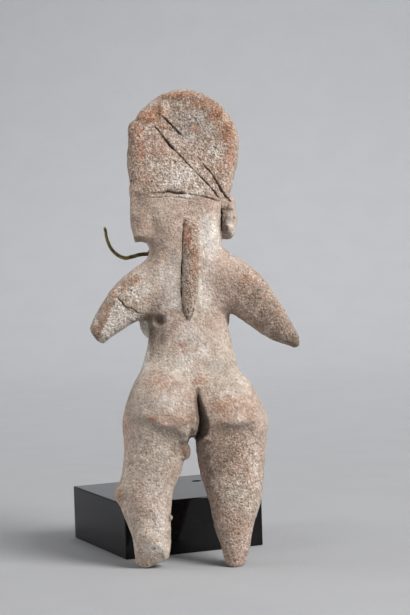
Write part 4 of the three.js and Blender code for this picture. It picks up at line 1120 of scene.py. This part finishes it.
# Heights in millimetres; dark specks are sunk
clayHeights = {"crumb": 0.6, "tooth": 0.12, "coarse": 0.25, "fine": 0.15, "grains": 0.09, "dark": 0.16}


def stainOver(tree, at, colour, name):
    scale, ragged, edge, strength = clayStains[name]
    mask = useGroup(tree, raggedStain, at, amount=painted(tree, name), scale=scale, ragged=ragged,
                    edge=edge)["Mask"]
    return mixColour(tree, times(tree, mask, strength), colour, clayFinish[name])


def makeClay():
    material, tree, shader, at = newMaterial("firedClay")
    sandy = painted(tree, "sandy")
    wide = useGroup(tree, mottle, at, scale=0.07, detail=3.0, low=0.38, high=0.6)["Mask"]
    middle = useGroup(tree, mottle, at, scale=0.28, detail=6.0, low=0.42, high=0.68)["Mask"]
    crumb = useGroup(tree, mottle, at, scale=1.75, detail=6.0, low=0.34, high=0.66)
    tooth = useGroup(tree, mottle, at, scale=4.2, detail=3.0, low=0.34, high=0.66)
    colour = mixColour(tree, wide, clayFinish["buff"], clayFinish["pink"])
    colour = mixColour(tree, times(tree, middle, 0.45), colour, clayFinish["shade"])
    # the pale stain also paints highlights, and the grey and dull stains also paint shade
    for name in ("grey", "pale", "ochre", "dull"):
        colour = stainOver(tree, at, colour, name)
    blotch = useGroup(tree, mottle, at, scale=0.6, detail=3.0, low=0.36, high=0.64)["Mask"]
    worn = put(tree, "ShaderNodeMapRange", value=blotch, toMin=0.88, toMax=1.09)
    colour = mixColour(tree, 1.0, colour, worn.outputs[0], "MULTIPLY")
    # crusty grain: hollows hold dirt, high spots are worn pale
    rough = times(tree, sandy, 0.85)
    coarse = useGroup(tree, sandGrains, at, scale=1.35, bend=0.45)
    fine = useGroup(tree, sandGrains, at, scale=2.7, bend=0.25)
    for name, amount in (("crumb", crumb["Mask"]), ("coarse", coarse["Tone"]), ("fine", fine["Tone"])):
        toned = mixColour(tree, 1.0, colour, mixColour(tree, amount, *clayTones[name]), "MULTIPLY")
        colour = mixColour(tree, rough, colour, toned)
    grains = useGroup(tree, specks, at, scale=1.35, size=0.42, share=0.4)["Mask"]
    colour = mixColour(tree, times(tree, times(tree, grains, sandy), 0.4), colour, clayFinish["grain"])
    small = useGroup(tree, specks, at, scale=1.6, size=0.45, share=0.5)["Mask"]
    big = useGroup(tree, specks, at, scale=0.5, size=0.25, share=0.5)["Mask"]
    dark = times(tree, math2(tree, "MAXIMUM", small, big), sandy)
    colour = mixColour(tree, times(tree, dark, 0.8), colour, clayFinish["speck"])
    # soil: dirt, and painted shade in creases, folds, the cleft and under the arms and tresses
    colour = stainOver(tree, at, colour, "soil")
    # groove colour: dirt and painted shade in the incised lines, and painted shadow in the cleft
    colour = mixColour(tree, times(tree, painted(tree, "groove"), 0.64), colour, clayFinish["groove"])
    tree.links.new(colour, shader.inputs["Base Color"])
    matt = put(tree, "ShaderNodeMapRange", value=tooth["Mask"], toMin=0.86, toMax=0.98)
    tree.links.new(matt.outputs[0], shader.inputs["Roughness"])
    shader.inputs["Specular IOR Level"].default_value = 0.22
    shader.inputs["Sheen Weight"].default_value = 0.3
    shader.inputs["Sheen Roughness"].default_value = 0.45
    shader.inputs["Sheen Tint"].default_value = clayFinish["sheen"]
    height = times(tree, crumb["Noise"], clayHeights["crumb"])
    for name, value in (("tooth", tooth["Noise"]), ("coarse", coarse["Height"]), ("fine", fine["Height"])):
        height = plus(tree, height, times(tree, value, clayHeights[name]))
    height = times(tree, height, plus(tree, times(tree, sandy, 0.7), 0.3))
    height = plus(tree, height, times(tree, grains, clayHeights["grains"]))
    height = minus(tree, height, times(tree, dark, clayHeights["dark"]))
    setBump(tree, shader, height)
    return material


firedClay = makeClay()
figureMesh, figurePoints = makeFigureMesh()
paintMasks(figureMesh, figurePoints)
setPoints(figureMesh, toWorld(figurePoints))
sizesInMm = ("lumpHeight", "lumpSize", "dentHeight", "dentSize", "gritHeight", "gritSize", "pitDepth",
             "pitSize")
clayFigure = runNodes(
    "clayFigure", figureMesh, buildClayRelief(), seed=float(clay["seed"]), material=firedClay,
    **{name: clay[name] * mm for name in sizesInMm})
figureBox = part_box("figurine")
keepInside(clayFigure.data, figureBox)
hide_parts("figurine")
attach(clayFigure, "root")
print("clay figure:", len(clayFigure.data.polygons), "faces")


# Black block
block = {
    "height": 15.0,
    "edge": 0.35,             # rounding of the edges
    "rodHole": (6.4, 14.0, 1.1, 9.0),        # x, y, radius, depth
    "spareHole": (1.4, 7.0),                 # radius, depth
    "spareAlong": 33.4,
    "spareAcross": 28.9,
    "sharpFrom": 31,          # degrees between faces that keep a hard edge
}
blackFinish = {
    "colour": (0.0045, 0.0045, 0.005),
    "haze": (0.011, 0.011, 0.012),
    "dust": (0.35, 0.34, 0.33),
    "roughness": 0.06,
    "smearRoughness": 0.13,
    "ior": 1.32,
    "wipeTurn": 38,           # degrees
    "wipeScale": (0.05, 2.2, 0.4),
}


def makeBlack():
    material, tree, shader, at = newMaterial("polishedBlack")
    smear = useGroup(tree, mottle, at, scale=0.09, detail=4.0, low=0.42, high=0.7)["Mask"]
    colour = mixColour(tree, times(tree, smear, 0.6), blackFinish["colour"], blackFinish["haze"])
    lint = useGroup(tree, specks, at, scale=0.8, size=0.07, share=0.14)["Mask"]
    facing = put(tree, "ShaderNodeSeparateXYZ",
                 i0=put(tree, "ShaderNodeNewGeometry").outputs["Normal"]).outputs[2]
    lint = times(tree, lint, math2(tree, "MAXIMUM", facing, 0.15))
    colour = mixColour(tree, times(tree, lint, 0.7), colour, blackFinish["dust"])
    tree.links.new(colour, shader.inputs["Base Color"])
    rough = put(tree, "ShaderNodeMapRange", value=smear, toMin=blackFinish["roughness"],
                toMax=blackFinish["smearRoughness"])
    final = plus(tree, rough.outputs[0], times(tree, lint, 0.6))
    tree.links.new(final, shader.inputs["Roughness"])
    shader.inputs["IOR"].default_value = blackFinish["ior"]
    # faint wipe marks
    stretched = put(tree, "ShaderNodeMapping", vector=at)
    stretched.inputs["Rotation"].default_value = (0, 0, math.radians(blackFinish["wipeTurn"]))
    stretched.inputs["Scale"].default_value = blackFinish["wipeScale"]
    wipe = useGroup(tree, mottle, stretched.outputs[0], scale=1.0, detail=2.0)["Noise"]
    height = plus(tree, times(tree, wipe, 0.0006), times(tree, lint, 0.02))
    setBump(tree, shader, height)
    return material


def makeBlock():
    shaped = bmesh.new()
    bmesh.ops.create_cube(shaped, size=1.0)
    side = layout["blockSide"]
    bmesh.ops.scale(shaped, verts=shaped.verts, vec=(side, side, block["height"]))
    bmesh.ops.translate(shaped, verts=shaped.verts, vec=(side / 2, side / 2, block["height"] / 2))
    bmesh.ops.bevel(shaped, geom=shaped.edges[:], offset=block["edge"], segments=4, profile=0.5,
                    affect="EDGES")
    body = bpy.data.meshes.new("blackBlock")
    shaped.to_mesh(body)
    shaped.free()
    made = addObject("blackBlockSource", body)
    turn = math.radians(layout["blockTurn"])
    x, y, radius, depth = block["rodHole"]
    along = x * math.cos(turn) + y * math.sin(turn)
    across = y * math.cos(turn) - x * math.sin(turn)
    drills = []
    for a, b, r, deep in ((along, across, radius, depth),
                          (block["spareAlong"], block["spareAcross"], *block["spareHole"])):
        # a bit with a short flare at the mouth
        bit = bmesh.new()
        bmesh.ops.create_cone(bit, cap_ends=True, segments=48, radius1=r, radius2=r, depth=deep + 1)
        bmesh.ops.translate(bit, verts=bit.verts, vec=(a, b, block["height"] + 0.5 - deep / 2))
        mouth = bmesh.new()
        bmesh.ops.create_cone(mouth, cap_ends=True, segments=48, radius1=r * 0.9, radius2=r + 0.5,
                              depth=0.6)
        bmesh.ops.translate(mouth, verts=mouth.verts, vec=(a, b, block["height"] + 0.12))
        for part in (bit, mouth):
            mesh = bpy.data.meshes.new("drill")
            part.to_mesh(mesh)
            part.free()
            drill = addObject("drill", mesh)
            cut = made.modifiers.new("hole", "BOOLEAN")
            cut.operation = "DIFFERENCE"
            cut.object = drill
            cut.solver = "EXACT"
            drills.append(drill)
    bpy.context.view_layer.update()
    plain = bpy.data.meshes.new_from_object(made.evaluated_get(bpy.context.evaluated_depsgraph_get()))
    for gone in drills + [made]:
        bpy.data.objects.remove(gone)
    plain.transform(Matrix.Scale(mm, 4) @ Matrix.Translation(Vector(layoutShift)) @ Matrix.Rotation(turn,
        4, "Z"))
    plain.shade_smooth()
    plain.set_sharp_from_angle(angle=math.radians(block["sharpFrom"]))
    return plain


blackBlock = addObject("blackBlock", makeBlock())
weigh = blackBlock.modifiers.new("weigh", "WEIGHTED_NORMAL")
weigh.keep_sharp = True
blackBlock.data.materials.clear()
blackBlock.data.materials.append(makeBlack())
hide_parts("display_block")
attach(blackBlock, "root")
print("black block:", len(blackBlock.data.polygons), "faces")


# Brass cradle
cradle = {
    "rodRadius": 0.8,
    "prongRadius": 0.53,
    "prongEnd": 0.42,
    "sides": 24,
    "rod": [(6.4, 14.0, 6.3), (6.4, 14.0, 24.0), (8.2, 13.4, 56.0), (9.0, 12.2, 70.0), (9.5, 9.4, 78.6),
            (9.6, 7.1, 81.8)],
    "left": [(9.6, 7.1, 81.8), (6.2, 6.5, 81.65), (4.0, 6.4, 81.15), (2.2, 6.3, 80.9), (0.2, 6.3, 81.75),
             (-1.4, 6.3, 83.4), (-2.4, 6.2, 85.7), (-3.05, 6.2, 89.4)],
    "right": [(9.6, 7.1, 81.8), (13.0, 6.5, 81.6), (15.2, 6.6, 81.1), (17.0, 6.8, 80.9), (19.0, 7.1, 81.7),
              (20.6, 7.4, 83.2), (21.7, 7.8, 85.4), (22.3, 8.2, 88.6)],
    "solder": 1.15,
    "solderAcross": 1.35,     # times its size
    "solderDeep": 0.95,
    "unevenness": 0.012,
}
brassFinish = {
    "bright": (0.38, 0.315, 0.15),
    "olive": (0.14, 0.118, 0.055),
    "dark": (0.055, 0.038, 0.02),
    "roughness": 0.34,
}


def makeBrass():
    material, tree, shader, at = newMaterial("agedBrass")
    wide = useGroup(tree, mottle, at, scale=0.28, detail=4.0, low=0.38, high=0.62)["Mask"]
    fine = useGroup(tree, mottle, at, scale=2.4, detail=4.0, low=0.4, high=0.68)["Mask"]
    colour = mixColour(tree, wide, brassFinish["bright"], brassFinish["olive"])
    tarnish = useGroup(tree, raggedStain, at, amount=0.34, scale=1.1, ragged=1.2)["Mask"]
    colour = mixColour(tree, times(tree, tarnish, 0.85), colour, brassFinish["dark"])
    spots = useGroup(tree, specks, at, scale=1.6, size=0.3, share=0.3)["Mask"]
    colour = mixColour(tree, times(tree, spots, 0.5), colour, brassFinish["dark"])
    tree.links.new(colour, shader.inputs["Base Color"])
    shader.inputs["Metallic"].default_value = 1.0
    dull = plus(tree, times(tree, fine, 0.14), times(tree, tarnish, 0.2))
    tree.links.new(plus(tree, dull, brassFinish["roughness"]), shader.inputs["Roughness"])
    height = plus(tree, times(tree, fine, 0.01), times(tree, spots, 0.012))
    setBump(tree, shader, height)
    return material


def wirePath(points, count):
    line = (throughPoints(points, count) + layoutShift) * mm
    mesh = bpy.data.meshes.new("path")
    mesh.from_pydata(line.tolist(), [(i, i + 1) for i in range(count - 1)], [])
    return mesh


agedBrass = makeBrass()
bentWire = buildBentWire()
wires = []
for name, radius, endRadius, count in (("rod", "rodRadius", "rodRadius", 120),
                                       ("left", "prongRadius", "prongEnd", 90),
                                       ("right", "prongRadius", "prongEnd", 90)):
    wires.append(runNodes(
        name + "Wire", wirePath(cradle[name], count), bentWire, radius=cradle[radius] * mm,
        endRadius=cradle[endRadius] * mm, sides=cradle["sides"], unevenness=cradle["unevenness"] * mm,
        seed=float(len(wires)),
        material=agedBrass))
joined = bmesh.new()
for wire in wires:
    joined.from_mesh(wire.data)
    bpy.data.objects.remove(wire)
# a lump of solder where the wires meet
knot = bmesh.ops.create_icosphere(joined, subdivisions=4, radius=cradle["solder"] * mm)["verts"]
for v in knot:
    v.co.x *= cradle["solderAcross"]
    v.co.y *= cradle["solderDeep"]
    v.co += Vector((np.array(cradle["rod"][-1]) + layoutShift) * mm)
for f in joined.faces:
    f.smooth = True
cradleMesh = bpy.data.meshes.new("brassCradle")
joined.to_mesh(cradleMesh)
joined.free()
cradleMesh.materials.append(agedBrass)
brassCradle = addObject("brassCradle", cradleMesh)
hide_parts("cradle_rod")
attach(brassCradle, "root")
print("brass cradle:", len(cradleMesh.polygons), "faces")


# Grains in the clay
grains = {"size": 0.16, "perSquareMillimetre": 0.3, "seed": 11}
grainFinish = {"light": (0.56, 0.485, 0.41), "dark": (0.24, 0.18, 0.14), "dirt": (0.6, 0.58, 0.55)}


def makeGrainMaterial():
    material, tree, shader, at = newMaterial("clayGrain")
    tone = useGroup(tree, mottle, at, scale=0.9, detail=2.0, low=0.4, high=0.6)["Mask"]
    fine = useGroup(tree, mottle, at, scale=6.0, detail=3.0)
    colour = mixColour(tree, tone, grainFinish["light"], grainFinish["dark"])
    colour = mixColour(tree, times(tree, fine["Mask"], 0.4), colour, grainFinish["dirt"], "MULTIPLY")
    tree.links.new(colour, shader.inputs["Base Color"])
    shader.inputs["Roughness"].default_value = 0.9
    setBump(tree, shader, times(tree, fine["Noise"], 0.05))
    return material


clayGrains = runNodes(
    "clayGrains", clayFigure.data.copy(), buildGrainScatter(), grainSize=grains["size"] * mm,
    perSquareMetre=grains["perSquareMillimetre"] * 1e6, seed=grains["seed"], material=makeGrainMaterial())
keepInside(clayGrains.data, figureBox)
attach(clayGrains, "root")
print("clay grains:", len(clayGrains.data.polygons), "faces")


# Floor, light and camera, with lengths in metres
studio = {
    "paper": (0.45, 0.456, 0.472),
    "paperCloud": (0.414, 0.414, 0.43),
    "paperTooth": (0.348, 0.348, 0.364),
    "paperHalfWidth": 2.5,
    "paperFront": -3.0,
    "bendStart": 0.45,
    "bendRadius": 0.45,
    "paperTop": 2.2,
    "bendSteps": 32,
    "figureAim": (0.0, -0.02, 0.06),
    "wallAim": (0.05, 0.62, 0.1),
    "room": (0.096, 0.098, 0.103),
    "key": {"at": (0.57, -0.47, 0.60), "size": 0.5, "power": 10.05, "spread": 180.0,
            "colour": (1.0, 0.99, 0.972)},
    "card": {"at": (-0.75, 0.04, 0.12), "size": 0.5, "power": 2.4, "spread": 180.0,
             "colour": (1.0, 0.98, 0.95)},
    "fill": {"at": (-0.8, 0.1, 0.42), "size": 0.6, "power": 1.25, "spread": 180.0,
             "colour": (0.97, 0.985, 1.0)},
    "top": {"at": (0.05, 0.0, 1.1), "size": 0.8, "power": 1.45, "spread": 180.0, "colour": (1.0, 1.0, 1.0)},
    "wall": {"at": (0.25, 0.35, 1.3), "size": 0.5, "power": 1.0, "spread": 54.0,
             "colour": (0.98, 0.99, 1.0)},
}
view = {                      # place in the layout, in millimetres, and angles in degrees
    "at": (23.27, -535.727, 98.69),
    "pitch": 3.36,
    "roll": -1.80,
    "lens": 117.84,
    "sensor": 36.0,
}


def makeBackdrop():
    # one sheet of pale paper, flat under the object and bent up behind it
    line = [(studio["paperFront"], 0.0), (-0.6, 0.0), (-0.2, 0.0), (0.2, 0.0)]
    for i in range(studio["bendSteps"] + 1):
        turn = math.radians(90 * i / studio["bendSteps"])
        line.append((studio["bendStart"] + studio["bendRadius"] * math.sin(turn),
                     studio["bendRadius"] * (1 - math.cos(turn))))
    line.append((studio["bendStart"] + studio["bendRadius"], studio["paperTop"]))
    half = studio["paperHalfWidth"]
    verts = [(x, y, z) for y, z in line for x in (-half, half)]
    faces = [(2 * i, 2 * i + 1, 2 * i + 3, 2 * i + 2) for i in range(len(line) - 1)]
    mesh = bpy.data.meshes.new("paperBackdrop")
    mesh.from_pydata(verts, [], faces)
    mesh.shade_smooth()
    made = addObject("paperBackdrop", mesh)
    material, tree, shader, at = newMaterial("palePaper")
    cloud = useGroup(tree, mottle, at, scale=0.05, detail=4.0, low=0.35, high=0.65)["Mask"]
    tooth = useGroup(tree, mottle, at, scale=1.1, detail=4.0)["Noise"]
    colour = mixColour(tree, times(tree, cloud, 0.25), studio["paper"], studio["paperCloud"])
    colour = mixColour(tree, times(tree, tooth, 0.16), colour, studio["paperTooth"])
    tree.links.new(colour, shader.inputs["Base Color"])
    shader.inputs["Roughness"].default_value = 0.9
    shader.inputs["Specular IOR Level"].default_value = 0.15
    setBump(tree, shader, times(tree, tooth, 0.12))
    mesh.materials.append(material)
    return made


def makeSoftbox(name):
    values = studio[name]
    light = bpy.data.lights.new(name + "Light", "AREA")
    light.shape = "DISK"
    light.size = values["size"]
    light.energy = values["power"]
    light.spread = math.radians(values["spread"])
    light.color = values["colour"]
    made = addObject(name + "Light", light)
    target = Vector(studio["wallAim"] if name == "wall" else studio["figureAim"])
    toward = target - Vector(values["at"])
    made.location = values["at"]
    made.rotation_euler = toward.to_track_quat("-Z", "Y").to_euler()


def makeRoom():
    room = bpy.data.worlds.new("dimRoom")
    room.use_nodes = True
    room.node_tree.nodes["Background"].inputs["Color"].default_value = (*studio["room"], 1.0)
    bpy.context.scene.world = room


def makeCamera():
    # stands behind the figurine, a little above its head, tipped down and rolled a little
    camera = bpy.data.cameras.new("camera")
    camera.sensor_fit = "VERTICAL"
    camera.sensor_height = view["sensor"]
    camera.lens = view["lens"]
    camera.clip_start = 0.01
    pitch, roll = math.radians(view["pitch"]), math.radians(view["roll"])
    forward = Vector((0, math.cos(pitch), -math.sin(pitch)))
    across = Vector((1, 0, 0))
    upward = Vector((0, math.sin(pitch), math.cos(pitch)))
    right = math.cos(roll) * across + math.sin(roll) * upward
    up = -math.sin(roll) * across + math.cos(roll) * upward
    made = addObject("camera", camera)
    turned = Matrix((right, up, -forward)).transposed().to_4x4()
    place = (Vector(view["at"]) + Vector(layoutShift)) * mm
    made.matrix_world = Matrix.Translation(place) @ turned
    bpy.context.scene.camera = made


makeBackdrop()
makeRoom()
for name in ("key", "card", "fill", "top", "wall"):
    makeSoftbox(name)
makeCamera()
bpy.context.scene.view_settings.view_transform = "Standard"
print("studio ready")
